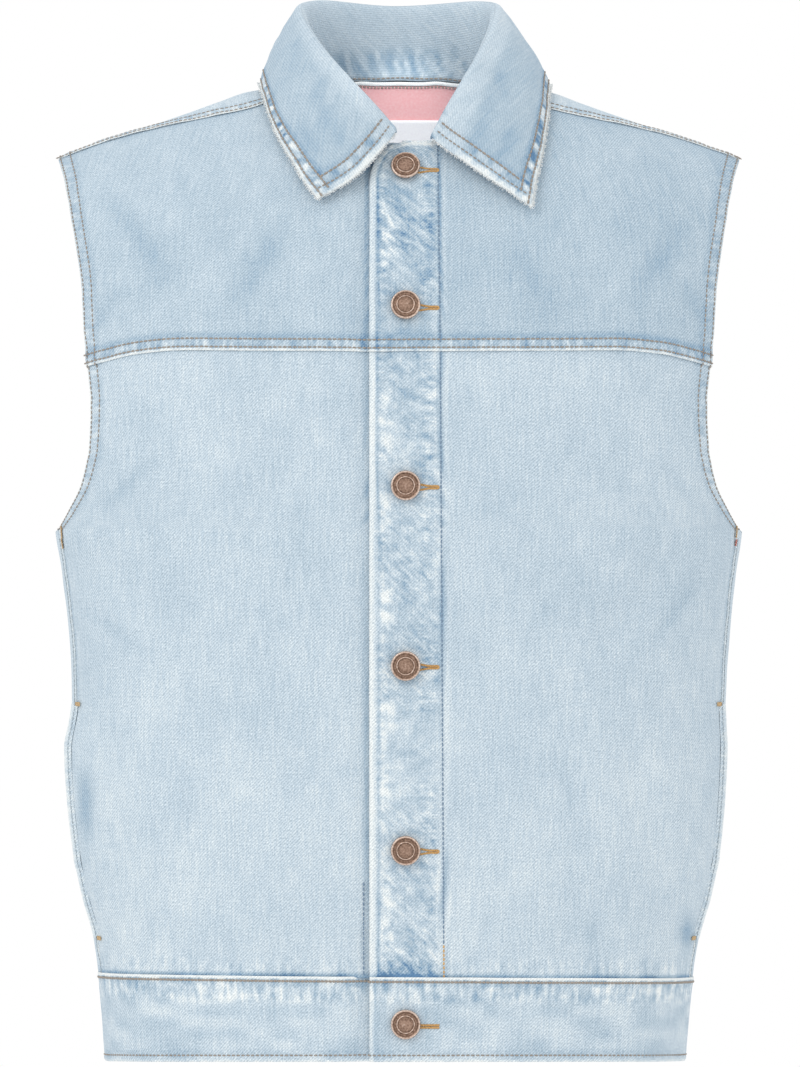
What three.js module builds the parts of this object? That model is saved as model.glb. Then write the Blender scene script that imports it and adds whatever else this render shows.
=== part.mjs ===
// A sleeveless denim vest, filled out as if worn, hollow and open at the neck, armholes and hem.
// It has a chest yoke over two buttoned fronts, a plain back, a fold-over collar, side pockets
// with a narrow welt, and a waistband.
// Millimetres, +Z up. The front faces -Y and +X is the wearer's left side.
// The origin is the centre of the neck, at the height where the shoulders begin.

import * as THREE from 'three';
import { mergeVertices } from 'three/addons/utils/BufferGeometryUtils.js';

// Cloth
const CLOTH = 1.6; // a panel, with its turned edges
const COLLAR_CLOTH = 2;
const BAND_CLOTH = 2.4;
const WELT_CLOTH = 1.4;
const FACING_CLOTH = 1;
const LABEL_CLOTH = 0.8;
const SEAM = 0.3; // space between two pieces at a seam
const SIDE_GAP = SEAM / 200; // the same as an angle, where the body is about 200 from its middle

// Overlap of the fronts, and its raised button strip
const OVERLAP_EDGE = -18; // x of the folded edge of the front that lies on top
const UNDERLAP_EDGE = 20; // x of the hidden edge of the front below
const OVERLAP_CORNER = { x: 2, top: -36, drop: 25 }; // the rounded upper corner of that edge
const STRIP = { edge: 25, fade: 5, rise: 0.8 };
const SINK = { from: 32, to: 20 }; // where the lower front dips inwards to pass below

// Form of the body
const ROUNDNESS = 2.4; // power of the sections: 2 is an ellipse, more is squarer
const CAP = 70; // how far below the top of the shoulder the cloth starts to turn over it
const SIDE_SEAM = THREE.MathUtils.degToRad(78.6); // from centre front: the seam lies just forward
const UNDERARM = -272; // where the side seam meets the armhole
const UNDERARM_DIP = 2; // the armhole's lowest point lies this much lower
const BACK_AT_UNDERARM = [-300, -276]; // the back's rows that fan into the armhole's bottom

// Sections by height: half width, depth in front of and behind the shoulder line, and middle
const BODY = [
  { z: -612, half: 178.5, front: 100, back: 95, mid: -2.5 },
  { z: -552, half: 183.5, front: 101, back: 96, mid: -2 },
  { z: -524, half: 187.5, front: 102.5, back: 96.5, mid: -1.6 },
  { z: -493, half: 195.5, front: 105, back: 97.5, mid: -1.2 },
  { z: -462, half: 199.8, front: 107.5, back: 98.5, mid: -0.8 },
  { z: -420, half: 201.8, front: 110, back: 100, mid: -0.5 },
  { z: -380, half: 202.3, front: 112, back: 101, mid: -0.3 },
  { z: -340, half: 204.5, front: 114, back: 103, mid: 0 },
  { z: -300, half: 208.3, front: 115.5, back: 105, mid: 0 },
  { z: -272, half: 212.5, front: 116, back: 107, mid: 0 },
  { z: -200, half: 214, front: 114, back: 110, mid: 0 },
  { z: -140, half: 218, front: 105, back: 108, mid: 0 },
  { z: -80, half: 223, front: 85, back: 98, mid: 0 },
  { z: -33, half: 226, front: 62, back: 81, mid: 0 },
  { z: 0, half: 226, front: 50, back: 65, mid: 0 },
  { z: 60, half: 226, front: 40, back: 52, mid: 0 },
];

// Top of the shoulder by distance from the middle; inside the neck it only shapes the neckline
const SHOULDER = [
  { x: 0, z: 52 },
  { x: 20, z: 50 },
  { x: 40, z: 41 },
  { x: 50, z: 31 },
  { x: 60, z: 17 },
  { x: 66, z: 9.5 },
  { x: 70, z: 5.5 },
  { x: 76, z: 3.5 },
  { x: 84, z: 0.5 },
  { x: 96, z: -2 },
  { x: 112, z: -8 },
  { x: 130, z: -14.5 },
  { x: 148, z: -20.5 },
  { x: 164, z: -25.5 },
  { x: 182, z: -31.5 },
  { x: 198, z: -37.5 },
  { x: 213, z: -43.5 },
];
const SHOULDER_TIP = 211;

// Armhole edge, the same in front and behind: distance from the middle by height
const ARMHOLE = [
  { z: -272, x: 209 },
  { z: -260, x: 202 },
  { z: -245, x: 195 },
  { z: -229, x: 191 },
  { z: -214, x: 189.5 },
  { z: -198, x: 189 },
  { z: -152, x: 193 },
  { z: -121, x: 195 },
  { z: -90, x: 200 },
  { z: -59, x: 206 },
  { z: -43.5, x: SHOULDER_TIP },
];

// Front neckline and yoke seam, by distance from the middle
const NECK_POINT = 75; // where the neckline meets the shoulder seam
const FRONT_NECK = [
  { x: -20, z: -37 },
  { x: 0, z: -34.5 },
  { x: 20, z: -34 },
  { x: 30, z: -30 },
  { x: 42, z: -24 },
  { x: 55, z: -16 },
  { x: 66, z: -9 },
  { x: NECK_POINT, z: -4 },
];
const YOKE_SEAM = [
  { x: -20, z: -163 },
  { x: 0, z: -162.5 },
  { x: 60, z: -162 },
  { x: 105, z: -161.5 },
  { x: 140, z: -163.5 },
  { x: 170, z: -167.5 },
  { x: 195, z: -171 },
];
const YOKE_WIDTH = 195;

// Upper edge of the back: how far below the top of the shoulder it ends, and on which side of it
const BACK_TOP = [
  { x: 0, below: 44, way: -1 },
  { x: 14, below: 43, way: -1 },
  { x: 28, below: 39.5, way: -1 },
  { x: 40, below: 34, way: -1 },
  { x: 50, below: 25, way: -1 },
  { x: 60, below: 12, way: -1 },
  { x: 66, below: 5.5, way: -1 },
  { x: 70, below: 2, way: -1 },
  { x: 73, below: 2, way: 1 },
  { x: NECK_POINT, below: 8, way: 1 },
  { x: 84, below: 10.5, way: 1 },
  { x: 95, below: 11.5, way: 1 },
  { x: 112, below: 9, way: 1 },
  { x: 130, below: 6, way: 1 },
  { x: 150, below: 3.5, way: 1 },
  { x: 172, below: 2, way: 1 },
  { x: SHOULDER_TIP, below: 0.8, way: 1 },
];

// Soft troughs (depth above 0) and swells in the panels, each between two ends
const FOLDS = [
  { face: 'front', x0: 140, z0: -398, x1: 172, z1: -525, wide: 12, depth: 3 },
  { face: 'front', x0: -172, z0: -440, x1: -178, z1: -512, wide: 9, depth: 2.4 },
  { face: 'front', x0: 176, z0: -280, x1: 120, z1: -352, wide: 16, depth: 2.2 },
  { face: 'front', x0: -180, z0: -286, x1: -132, z1: -345, wide: 15, depth: 2 },
  { face: 'front', x0: -60, z0: -430, x1: -84, z1: -528, wide: 17, depth: -1.8 },
  { face: 'front', x0: 62, z0: -380, x1: 84, z1: -520, wide: 18, depth: -1.6 },
  { face: 'back', x0: -165, z0: -262, x1: -70, z1: -372, wide: 19, depth: 3.4 },
  { face: 'back', x0: 168, z0: -270, x1: 84, z1: -352, wide: 17, depth: 3 },
  { face: 'back', x0: -130, z0: -410, x1: -154, z1: -532, wide: 15, depth: 3.2 },
  { face: 'back', x0: 122, z0: -428, x1: 150, z1: -534, wide: 14, depth: 2.6 },
  { face: 'back', x0: 22, z0: -330, x1: 44, z1: -510, wide: 22, depth: 2.4 },
  { face: 'back', x0: -58, z0: -400, x1: -40, z1: -520, wide: 20, depth: -2 },
];

// Side pockets: the front's edge stands out between the two ends, more on one side
const POCKET = { top: -380, bottom: -524, widest: -408, fromAngle: THREE.MathUtils.degToRad(58) };
const GAPE = { left: 1.5, right: 4.6 };
const WELT = { from: THREE.MathUtils.degToRad(75.8), to: THREE.MathUtils.degToRad(80.4) };

// Waistband
const WAIST = { level: -549.5, tilt: 3.5, skew: -1.5 };
const HEM = { level: -601.5, tilt: 5.5 };
const BAND_UNDER_END = 24; // x of the hidden end
const BAND_SINK = { from: 34, to: 20 };
const BAND_OVERLAP = { from: 0.1, to: 0.2 }; // angles between which the end on top comes to lie flat

// Collar: for stations along the neckline, its roll line, its outer edge, and how far the middle
// of the fall swells out or sags
const COLLAR = [
  { at: 0, rx: -2.4, ry: -69, rz: -28.5, ex: -49.6, ey: -70, ez: -72, swell: 3, sag: 6 },
  { at: 0.1, rx: -21, ry: -65, rz: -8, ex: -57, ey: -66, ez: -61, swell: 4, sag: 2 },
  { at: 0.19, rx: -35, ry: -51, rz: 8, ex: -65, ey: -62, ez: -47, swell: 4, sag: 0 },
  { at: 0.27, rx: -48, ry: -31, rz: 25, ex: -75, ey: -52, ez: -29, swell: 4, sag: 0 },
  { at: 0.33, rx: -57, ry: -8, rz: 41, ex: -82, ey: -30, ez: -8, swell: 3, sag: 0 },
  { at: 0.38, rx: -60, ry: 16, rz: 50, ex: -85, ey: -3, ez: 3, swell: 3, sag: 0 },
  { at: 0.42, rx: -56, ry: 33, rz: 54, ex: -83, ey: 28, ez: 2, swell: 3, sag: 0 },
  { at: 0.46, rx: -44, ry: 49, rz: 56, ex: -70, ey: 54, ez: -3, swell: 4, sag: 0 },
  { at: 0.525, rx: -2, ry: 67, rz: 53.5, ex: 0, ey: 78, ez: -12, swell: 4, sag: 0 },
  { at: 0.59, rx: 44, ry: 49, rz: 55.5, ex: 72, ey: 54, ez: -4, swell: 4, sag: 0 },
  { at: 0.63, rx: 56, ry: 33, rz: 55, ex: 88, ey: 28, ez: 0, swell: 3, sag: 0 },
  { at: 0.67, rx: 59, ry: 16, rz: 53, ex: 92, ey: -3, ez: 1, swell: 3, sag: 0 },
  { at: 0.73, rx: 58, ry: -8, rz: 43, ex: 91, ey: -30, ez: -11, swell: 3, sag: 0 },
  { at: 0.8, rx: 50, ry: -32, rz: 22, ex: 89, ey: -52, ez: -32, swell: 4, sag: 0 },
  { at: 0.87, rx: 41, ry: -50, rz: 5, ex: 86, ey: -62, ez: -48, swell: 4, sag: 0 },
  { at: 0.94, rx: 31, ry: -61, rz: -13, ex: 83, ey: -66, ez: -62, swell: 4, sag: 0 },
  { at: 1, rx: 20.5, ry: -68, rz: -33, ex: 81, ey: -70, ez: -77, swell: 3, sag: 1 },
];
const COLLAR_ENDS = { right: -2.5, left: 20.5 }; // x of its two front ends
const COLLAR_LIFT = 1.4; // room below the fall, over the panels
const NECK_ROOM = 1.8; // room below the stand where the panels lie flat beside the neck
// The fold at the roll line: how far the cloth moves out and drops as it turns over
const ROLL = { most: 5, least: 2.6, start: 0.15, peak: 0.45, drop: 0.6 };
const STAND_BEND = 0.55; // how far up the stand is the point where it leans in most
const NECK_SHAPE = 1.2; // the neck is this much deeper than wide, for the way the collar leans
const FLAT_PART = 0.75; // share of the shoulder's depth over which it counts as its top

// Inside of the back neck
const FACING = { half: 46, depth: 42, below: 2, room: 1.5 };
const LABEL = { half: 27, top: -13, bottom: -44 };

// Buttons: a tack with a ringed head
const BUTTON_X = 4;
const BUTTON_HEIGHTS = [-52, -137, -246, -355, -467, -573];
const BUTTON_HEAD = [
  { r: 0, h: 0 },
  { r: 3.4, h: 0 },
  { r: 3.4, h: 1.5 },
  { r: 8.4, h: 1.9 },
  { r: 9.1, h: 2.9 },
  { r: 8.5, h: 4.1 },
  { r: 7.4, h: 4.4 },
  { r: 6.6, h: 3.7 },
  { r: 5.6, h: 3.7 },
  { r: 4.9, h: 4.5 },
  { r: 0, h: 4.7 },
];
const BUTTON_SIDES = 18;

// Rows and columns of each piece's grid
const YOKE_GRID = { rows: 11, neck: 7, crowd: 1.3 }; // rows crowd at the top
const SHOULDER_STOPS = BACK_TOP.map(({ x }) => x).filter((x) => x >= NECK_POINT);
const FRONT_GRID = { side: 12, arm: 8, columns: 13 };
const BACK_GRID = { side: 12, under: 4, arm: 14, crowd: 0.085 }; // rows crowd at both ends
const BAND_GRID = { rows: 4, columns: 54, crowd: -0.04 }; // its columns crowd at centre front
const COLLAR_GRID = { stations: 46, path: 13 };
const WELT_GRID = { rows: 12, columns: 2 };
const FACING_GRID = { rows: 5, columns: 14 };
const LABEL_GRID = { rows: 3, columns: 6 };

const DENIM = { color: '#c8d9e4', roughness: 0.92, metalness: 0 };
const YOKE_DENIM = { color: '#b9cbd8', roughness: 0.92, metalness: 0 };
const EDGE_DENIM = { color: '#d9e1e3', roughness: 0.95, metalness: 0 };
const PINK_COTTON = { color: '#f2acae', roughness: 0.85, metalness: 0 };
const WHITE_TAPE = { color: '#f1eef4', roughness: 0.8, metalness: 0 };
const COPPER = { color: '#9a6a4c', roughness: 0.4, metalness: 0.9 };

const { clamp, lerp, smoothstep } = THREE.MathUtils;

// A smooth curve through the rows of a table, with no overshoot: column `to` against column `by`.
function read(table, by, to, at) {
  const last = table.length - 1;
  if (at <= table[0][by]) return table[0][to];
  if (at >= table[last][by]) return table[last][to];
  let i = 0;
  while (table[i + 1][by] < at) i += 1;
  const chord = (k) => (table[k + 1][to] - table[k][to]) / (table[k + 1][by] - table[k][by]);
  const slope = (k) => {
    if (k === 0) return chord(0);
    if (k === last) return chord(last - 1);
    const before = chord(k - 1);
    const after = chord(k);
    return before * after <= 0 ? 0 : (2 * before * after) / (before + after);
  };
  const width = table[i + 1][by] - table[i][by];
  const t = (at - table[i][by]) / width;
  const rise = table[i + 1][to] - table[i][to];
  const start = slope(i) * width;
  const end = slope(i + 1) * width;
  return table[i][to] + start * t + (3 * rise - 2 * start - end) * t * t
    + (start + end - 2 * rise) * t * t * t;
}

const shoulderTop = (x) => read(SHOULDER, 'x', 'z', Math.abs(x));
const power = (value) => Math.abs(value) ** (2 / ROUNDNESS);
const armholeX = (z) => read(ARMHOLE, 'z', 'x', z);

// Angle round the body, from centre front towards +X, of a point at x on the front.
function angleAt(x, z) {
  const part = (x - read(BODY, 'z', 'mid', z)) / read(BODY, 'z', 'half', z);
  return Math.sign(part) * Math.asin(Math.min(1, Math.abs(part)) ** (ROUNDNESS / 2));
}

// `rise` is a height that runs on over the shoulder: it equals z on the body, and from CAP below
// the top of the shoulder it is measured round the turn.
function riseAt(x, below, way = -1) {
  const turn = Math.acos(clamp(1 - below / CAP, 0, 1));
  const extra = Math.min(0, CAP - below);
  return shoulderTop(x) + CAP * (Math.PI / 2 - 1) + way * CAP * turn + extra;
}

// Height of the surface at x, for a rise.
function heightAt(x, rise) {
  const top = shoulderTop(x);
  const turn = (top + CAP * (Math.PI / 2 - 1) - rise) / CAP;
  return turn >= Math.PI / 2 ? rise : top - CAP * (1 - Math.cos(turn));
}

// How much the troughs and swells move a point of one face inwards.
function foldDepth(face, x, z) {
  let sum = 0;
  for (const fold of FOLDS.filter((row) => row.face === face)) {
    const along = new THREE.Vector2(fold.x1 - fold.x0, fold.z1 - fold.z0);
    const from = new THREE.Vector2(x - fold.x0, z - fold.z0);
    const part = from.dot(along) / along.lengthSq();
    const away = Math.abs(from.cross(along)) / along.length() / fold.wide;
    const ends = smoothstep(part, -0.15, 0.3) * (1 - smoothstep(part, 0.65, 1.15));
    sum += fold.depth * ends * Math.exp(-away * away);
  }
  return sum;
}

// The outer surface of the garment, by the angle round it and the rise.
function bodyPoint(angle, rise) {
  const sine = Math.sin(angle);
  const low = Math.min(rise, 0);
  const half = read(BODY, 'z', 'half', low);
  const x = read(BODY, 'z', 'mid', low) + half * Math.sign(sine) * power(sine);
  const top = shoulderTop(x);
  const turn = Math.min((top + CAP * (Math.PI / 2 - 1) - rise) / CAP, Math.PI / 2);
  const z = heightAt(x, rise);
  const ahead = Math.cos(angle) * Math.sign(turn) >= 0;
  const face = ahead ? 'front' : 'back';
  const round = power(Math.cos(angle)) * Math.abs(Math.sin(turn));
  const depth = read(BODY, 'z', face, z) * round - foldDepth(face, x, z) * Math.min(1, round);
  return new THREE.Vector3(x, ahead ? -depth : depth, z);
}

// A spot on that surface: its point, and the direction that faces out of the cloth there.
function spotOn(surface, angle, rise) {
  const across = surface(angle + 0.01, rise).sub(surface(angle - 0.01, rise));
  const up = surface(angle, rise + 0.5).sub(surface(angle, rise - 0.5));
  return { point: surface(angle, rise), out: across.cross(up).normalize() };
}

// Pushes a point out until it lies `gap` off the body.
function clearOfBody(point, gap) {
  const face = point.y < 0 ? 'front' : 'back';
  const edge = power(Math.cos(angleAt(point.x, point.z)));
  const reach = read(BODY, 'z', face, point.z) * edge;
  const top = shoulderTop(point.x);
  const sine = Math.abs(point.y) / reach;
  if (sine < FLAT_PART && point.z > top - CAP / 2) {
    const surface = top - CAP * (1 - Math.sqrt(1 - sine * sine));
    point.z = Math.max(point.z, surface + gap);
  } else {
    const turn = Math.acos(clamp(1 - (top - point.z) / CAP, 0, 1));
    const surface = reach * Math.sin(turn);
    point.y = Math.sign(point.y) * Math.max(Math.abs(point.y), surface + gap);
  }
  return point;
}

// Gives each point of a free grid the direction that faces out of its faces there.
function spotsOf(grid) {
  const at = (i, j) => grid[clamp(i, 0, grid.length - 1)][clamp(j, 0, grid[0].length - 1)];
  return grid.map((row, i) => row.map((point, j) => {
    const up = at(i + 1, j).clone().sub(at(i - 1, j));
    const across = at(i, j + 1).clone().sub(at(i, j - 1));
    return { point, out: across.cross(up).normalize() };
  }));
}

// The spot, moved out of the cloth by a distance, or into it by a negative one.
const movedSpot = ({ point, out }, by) => ({ point: point.clone().addScaledVector(out, by), out });
const moved = (grid, by) => grid.map((row) => row.map((spot) => movedSpot(spot, by)));

// Turns a closed geometry so that its faces point outwards.
function facingOut(geometry) {
  const position = geometry.getAttribute('position');
  const index = geometry.getIndex().array;
  const [a, b, c] = [new THREE.Vector3(), new THREE.Vector3(), new THREE.Vector3()];
  let volume = 0;
  for (let i = 0; i < index.length; i += 3) {
    a.fromBufferAttribute(position, index[i]);
    b.fromBufferAttribute(position, index[i + 1]);
    c.fromBufferAttribute(position, index[i + 2]);
    volume += a.dot(b.cross(c));
  }
  if (volume < 0) {
    for (let i = 0; i < index.length; i += 3) [index[i], index[i + 1]] = [index[i + 1], index[i]];
  }
  geometry.computeVertexNormals();
  return geometry;
}

// A cloth wall: a grid of spots is its outer face, and its inner face lies `thick` behind.
function wall(outer, thick) {
  const inner = moved(outer, -thick);
  const rows = outer.length;
  const columns = outer[0].length;
  const positions = [...outer.flat(), ...inner.flat()].flatMap(({ point }) => point.toArray());
  const at = (i, j, back) => (back ? rows * columns : 0) + i * columns + j;
  const index = [];
  const quad = (a, b, c, d) => index.push(a, b, c, a, c, d);
  for (let i = 0; i < rows - 1; i += 1) {
    for (let j = 0; j < columns - 1; j += 1) {
      quad(at(i, j), at(i, j + 1), at(i + 1, j + 1), at(i + 1, j));
      quad(at(i, j, 1), at(i + 1, j, 1), at(i + 1, j + 1, 1), at(i, j + 1, 1));
    }
  }
  for (let j = 0; j < columns - 1; j += 1) {
    const top = rows - 1;
    quad(at(0, j), at(0, j, 1), at(0, j + 1, 1), at(0, j + 1));
    quad(at(top, j), at(top, j + 1), at(top, j + 1, 1), at(top, j, 1));
  }
  for (let i = 0; i < rows - 1; i += 1) {
    const end = columns - 1;
    quad(at(i, 0), at(i + 1, 0), at(i + 1, 0, 1), at(i, 0, 1));
    quad(at(i, end), at(i, end, 1), at(i + 1, end, 1), at(i + 1, end));
  }
  const geometry = new THREE.BufferGeometry();
  geometry.setAttribute('position', new THREE.Float32BufferAttribute(positions, 3));
  geometry.setIndex(index);
  return facingOut(geometry);
}

const steps = (count) => Array.from({ length: count + 1 }, (_, k) => k / count);

// Outer limit of a front: the side seam, and above it the armhole.
function frontLimit(rise) {
  if (rise <= UNDERARM) return SIDE_SEAM;
  let x = SHOULDER_TIP;
  for (let pass = 0; pass < 4; pass += 1) x = armholeX(heightAt(x, rise));
  return angleAt(x, Math.min(rise, 0));
}

// Centre edge of a front, measured from the middle towards its own side.
function centreEdge(onTop, z) {
  if (!onTop) return -UNDERLAP_EDGE;
  const corner = OVERLAP_CORNER;
  const up = clamp((z - corner.top + corner.drop) / corner.drop, 0, 1);
  return lerp(OVERLAP_EDGE, corner.x, 1 - Math.sqrt(1 - up * up));
}

// A spot of a front: its outer surface, with the button strip, the sunk lower front and the
// pocket's open edge.
function frontSpot(side, angle, rise) {
  const onTop = side > 0;
  const spot = spotOn(bodyPoint, angle, rise);
  const { x } = spot.point;
  let offset = onTop
    ? STRIP.rise * (1 - smoothstep(x, STRIP.edge - STRIP.fade, STRIP.edge))
    : -(CLOTH + SEAM) * smoothstep(x, -SINK.from, -SINK.to);
  if (rise < POCKET.top && rise > POCKET.bottom) {
    const ends = rise > POCKET.widest
      ? smoothstep(POCKET.top - rise, 0, POCKET.top - POCKET.widest)
      : smoothstep(rise - POCKET.bottom, 0, POCKET.widest - POCKET.bottom);
    const gape = onTop ? GAPE.left : GAPE.right;
    offset += gape * ends * smoothstep(Math.abs(angle), POCKET.fromAngle, SIDE_SEAM);
  }
  return movedSpot(spot, offset);
}

// The yoke seam, from its centre end, at u 0, to the armhole.
function yokeSeam(side, u) {
  return read(YOKE_SEAM, 'x', 'z', lerp(centreEdge(side > 0, UNDERARM), YOKE_WIDTH, u));
}

// A front panel, from the waist seam to the yoke seam.
function frontPanel(side) {
  const { side: low, arm: high, columns } = FRONT_GRID;
  const grid = steps(low + high).map((_, row) => steps(columns).map((u) => {
    const bottom = waistSeam(side * u * SIDE_SEAM) + SEAM;
    const rise = row < low
      ? lerp(bottom, UNDERARM, row / low)
      : lerp(UNDERARM, yokeSeam(side, u) - SEAM, (row - low) / high);
    const inner = angleAt(side * centreEdge(side > 0, rise), rise);
    return frontSpot(side, lerp(inner, side * (frontLimit(rise) - SIDE_GAP), u), rise);
  }));
  return wall(side > 0 ? grid : grid.map((row) => row.reverse()), CLOTH);
}

// A front yoke, from the yoke seam to the neckline and the shoulder seam.
function frontYoke(side) {
  const { neck, rows } = YOKE_GRID;
  const columns = neck + SHOULDER_STOPS.length - 1;
  const centreTop = centreEdge(side > 0, OVERLAP_CORNER.top);
  const grid = steps(rows).map((v) => steps(columns).map((u, k) => {
    const topX = k < neck ? lerp(centreTop, NECK_POINT, k / neck) : SHOULDER_STOPS[k - neck];
    const below = topX < NECK_POINT
      ? shoulderTop(topX) - read(FRONT_NECK, 'x', 'z', topX)
      : read(BACK_TOP, 'x', 'below', topX);
    const top = riseAt(topX, below) - SEAM;
    const rise = lerp(top, yokeSeam(side, u), (1 - v) ** YOKE_GRID.crowd);
    const z = heightAt(topX, rise);
    const inner = angleAt(side * centreEdge(side > 0, z), z);
    const even = lerp(inner, side * frontLimit(rise), u);
    const start = angleAt(centreTop, 0);
    const part = (angleAt(topX, 0) - start) / (angleAt(SHOULDER_TIP, 0) - start);
    const aimed = lerp(inner, side * frontLimit(rise), part);
    return frontSpot(side, lerp(even, aimed, smoothstep(v, 0, 1)), rise);
  }));
  return wall(side > 0 ? grid : grid.map((row) => row.reverse()), CLOTH);
}

// How far up the back's upper edge lies, as a rise.
const backTop = (x) => {
  const k = BACK_TOP.findIndex((row) => row.x >= x);
  const ends = BACK_TOP.slice(Math.max(0, k - 1), k + 1);
  const rises = ends.map((row) => riseAt(row.x, row.below, row.way) - shoulderTop(row.x));
  const part = ends.length < 2 ? 0 : (x - ends[0].x) / (ends[1].x - ends[0].x);
  return shoulderTop(x) + lerp(rises[0], rises[rises.length - 1], part);
};

// The plain back, from the waist seam over the shoulders, and round to the side seams.
function backPanel() {
  const { side, under, arm, crowd } = BACK_GRID;
  const last = BACK_TOP.length - 1;
  const widest = Math.PI - SIDE_SEAM - SIDE_GAP;
  const tip = angleAt(SHOULDER_TIP, 0);
  const grid = steps(side + under + arm).map((_, row) => {
    const upSide = Math.min(1, row / side);
    const upUnder = clamp((row - side) / under, 0, 1);
    const even = Math.max(0, (row - side - under) / arm);
    const upArm = even - crowd * Math.sin(2 * Math.PI * even);
    return steps(2 * last).map((_, k) => {
      const way = Math.sign(k - last);
      const { x } = BACK_TOP[Math.abs(k - last)];
      const u = Math.abs(k - last) / last;
      const centre = lerp(BACK_AT_UNDERARM[0], BACK_AT_UNDERARM[1], upUnder);
      const edge = UNDERARM - UNDERARM_DIP * 4 * upUnder * (1 - upUnder);
      const foot = waistSeam(Math.PI - way * u * widest) + SEAM;
      const level = lerp(foot, lerp(centre, edge, u * u), upSide);
      const rise = lerp(level, backTop(x), upArm);
      const limit = upArm > 0
        ? frontLimit(Math.min(rise, riseAt(SHOULDER_TIP, 0)))
        : lerp(widest, Math.PI - widest, upUnder);
      const angle = limit * lerp(u, angleAt(x, 0) / tip, smoothstep(upArm, 0, 1));
      return spotOn(bodyPoint, Math.PI - way * angle, rise);
    });
  });
  return wall(grid, CLOTH);
}

// The seam on top of the waistband, and the hem, by the angle round the body.
function waistSeam(angle) {
  return WAIST.level + WAIST.tilt * Math.cos(angle) + WAIST.skew * Math.sin(angle);
}

function hem(angle) {
  return HEM.level + HEM.tilt * Math.cos(angle);
}

// The waistband: one strip all round, whose end on top passes over the other at centre front.
function waistband() {
  const start = angleAt(BAND_UNDER_END, HEM.level);
  const end = angleAt(OVERLAP_EDGE, HEM.level) - 2 * Math.PI;
  const grid = steps(BAND_GRID.rows).map((v) => steps(BAND_GRID.columns).map((t) => {
    const closer = t + BAND_GRID.crowd * Math.sin(4 * Math.PI * t) * Math.cos(2 * Math.PI * t);
    const angle = lerp(start, end, closer);
    const spot = spotOn(bodyPoint, angle, lerp(hem(angle), waistSeam(angle) - SEAM / 2, v));
    const { x } = spot.point;
    const under = t < 0.5 ? smoothstep(x, -BAND_SINK.from, -BAND_SINK.to) : 0;
    const past = smoothstep(angle + 2 * Math.PI, BAND_OVERLAP.from, BAND_OVERLAP.to);
    const over = t < 0.5 ? 0 : 1 - past;
    return movedSpot(spot, over * STRIP.rise - under * (BAND_CLOTH + SEAM));
  }));
  return wall(grid.map((row) => row.reverse()), BAND_CLOTH);
}

// The neckline as one curve along the upper edges of the fronts and the back.
function necklineCurve() {
  const near = 4; // no two points of the curve are closer than this
  const fronts = (end) => FRONT_NECK.map((row) => row.x).filter((x) => x > end + near);
  const point = (side, x, isBack) => {
    if (isBack) return bodyPoint(Math.PI - side * angleAt(x, 0), backTop(x));
    const below = shoulderTop(x) - read(FRONT_NECK, 'x', 'z', x);
    return bodyPoint(side * angleAt(x, 0), riseAt(x, below));
  };
  const backs = BACK_TOP.map((row) => row.x).filter((x) => x < NECK_POINT - near).reverse();
  const half = (side, end) => [
    point(side, end, false),
    ...fronts(end).map((x) => point(side, x, false)),
    ...backs.map((x) => point(side, x, true)),
  ];
  const right = half(-1, -COLLAR_ENDS.right);
  const left = half(1, COLLAR_ENDS.left).reverse();
  return new THREE.CatmullRomCurve3([...right, ...left.slice(1)], false, 'centripetal');
}

// The collar: a stand from the neckline to the roll line, and a fall that lies over the panels.
function collar() {
  const neckline = necklineCurve();
  const row = (at, name) => read(COLLAR, 'at', name, at);
  const grid = steps(COLLAR_GRID.stations).map((at) => {
    const neck = neckline.getPointAt(at);
    const roll = new THREE.Vector3(row(at, 'rx'), row(at, 'ry'), row(at, 'rz'));
    const edge = new THREE.Vector3(row(at, 'ex'), row(at, 'ey'), row(at, 'ez'));
    const away = new THREE.Vector3(roll.x, roll.y * NECK_SHAPE, 0).normalize();
    clearOfBody(edge, COLLAR_CLOTH + COLLAR_LIFT);
    const foot = neck.clone().addScaledVector(away, -COLLAR_CLOTH / 2);
    const lean = foot.clone().sub(roll);
    const room = SEAM + COLLAR_CLOTH * Math.abs(lean.dot(away)) / lean.length();
    foot.z = Math.max(foot.z + room, clearOfBody(foot.clone(), room + NECK_ROOM).z);
    const turn = clamp((roll.z - foot.z) / 3, ROLL.least, ROLL.most);
    const standing = foot.clone().lerp(roll, STAND_BEND).addScaledVector(away, -turn / 3);
    const before = roll.clone().addScaledVector(away, -turn * ROLL.start);
    before.z -= turn * ROLL.drop;
    const after = roll.clone().addScaledVector(away, turn);
    after.z -= turn * ROLL.drop;
    roll.addScaledVector(away, turn * ROLL.peak);
    const middle = after.clone().lerp(edge, 0.5).addScaledVector(away, row(at, 'swell'));
    middle.z -= row(at, 'sag');
    const path = new THREE.CatmullRomCurve3([foot, standing, before, roll, after, middle, edge]);
    return steps(COLLAR_GRID.path).map((t) => {
      const point = path.getPoint(t);
      return t > 0.6 ? clearOfBody(point, COLLAR_CLOTH + COLLAR_LIFT) : point;
    });
  });
  return wall(spotsOf(grid), COLLAR_CLOTH);
}

// The narrow strip along a pocket's opening, laid on the front's edge.
function pocketWelt(side) {
  const grid = steps(WELT_GRID.rows).map((v) => steps(WELT_GRID.columns).map((u) => {
    const z = lerp(POCKET.bottom, POCKET.top, v);
    return frontSpot(side, side * lerp(WELT.from, WELT.to, u), z);
  }));
  const facing = side > 0 ? grid : grid.map((row) => row.reverse());
  return wall(moved(facing, 2 * SEAM + WELT_CLOTH), WELT_CLOTH);
}

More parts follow.
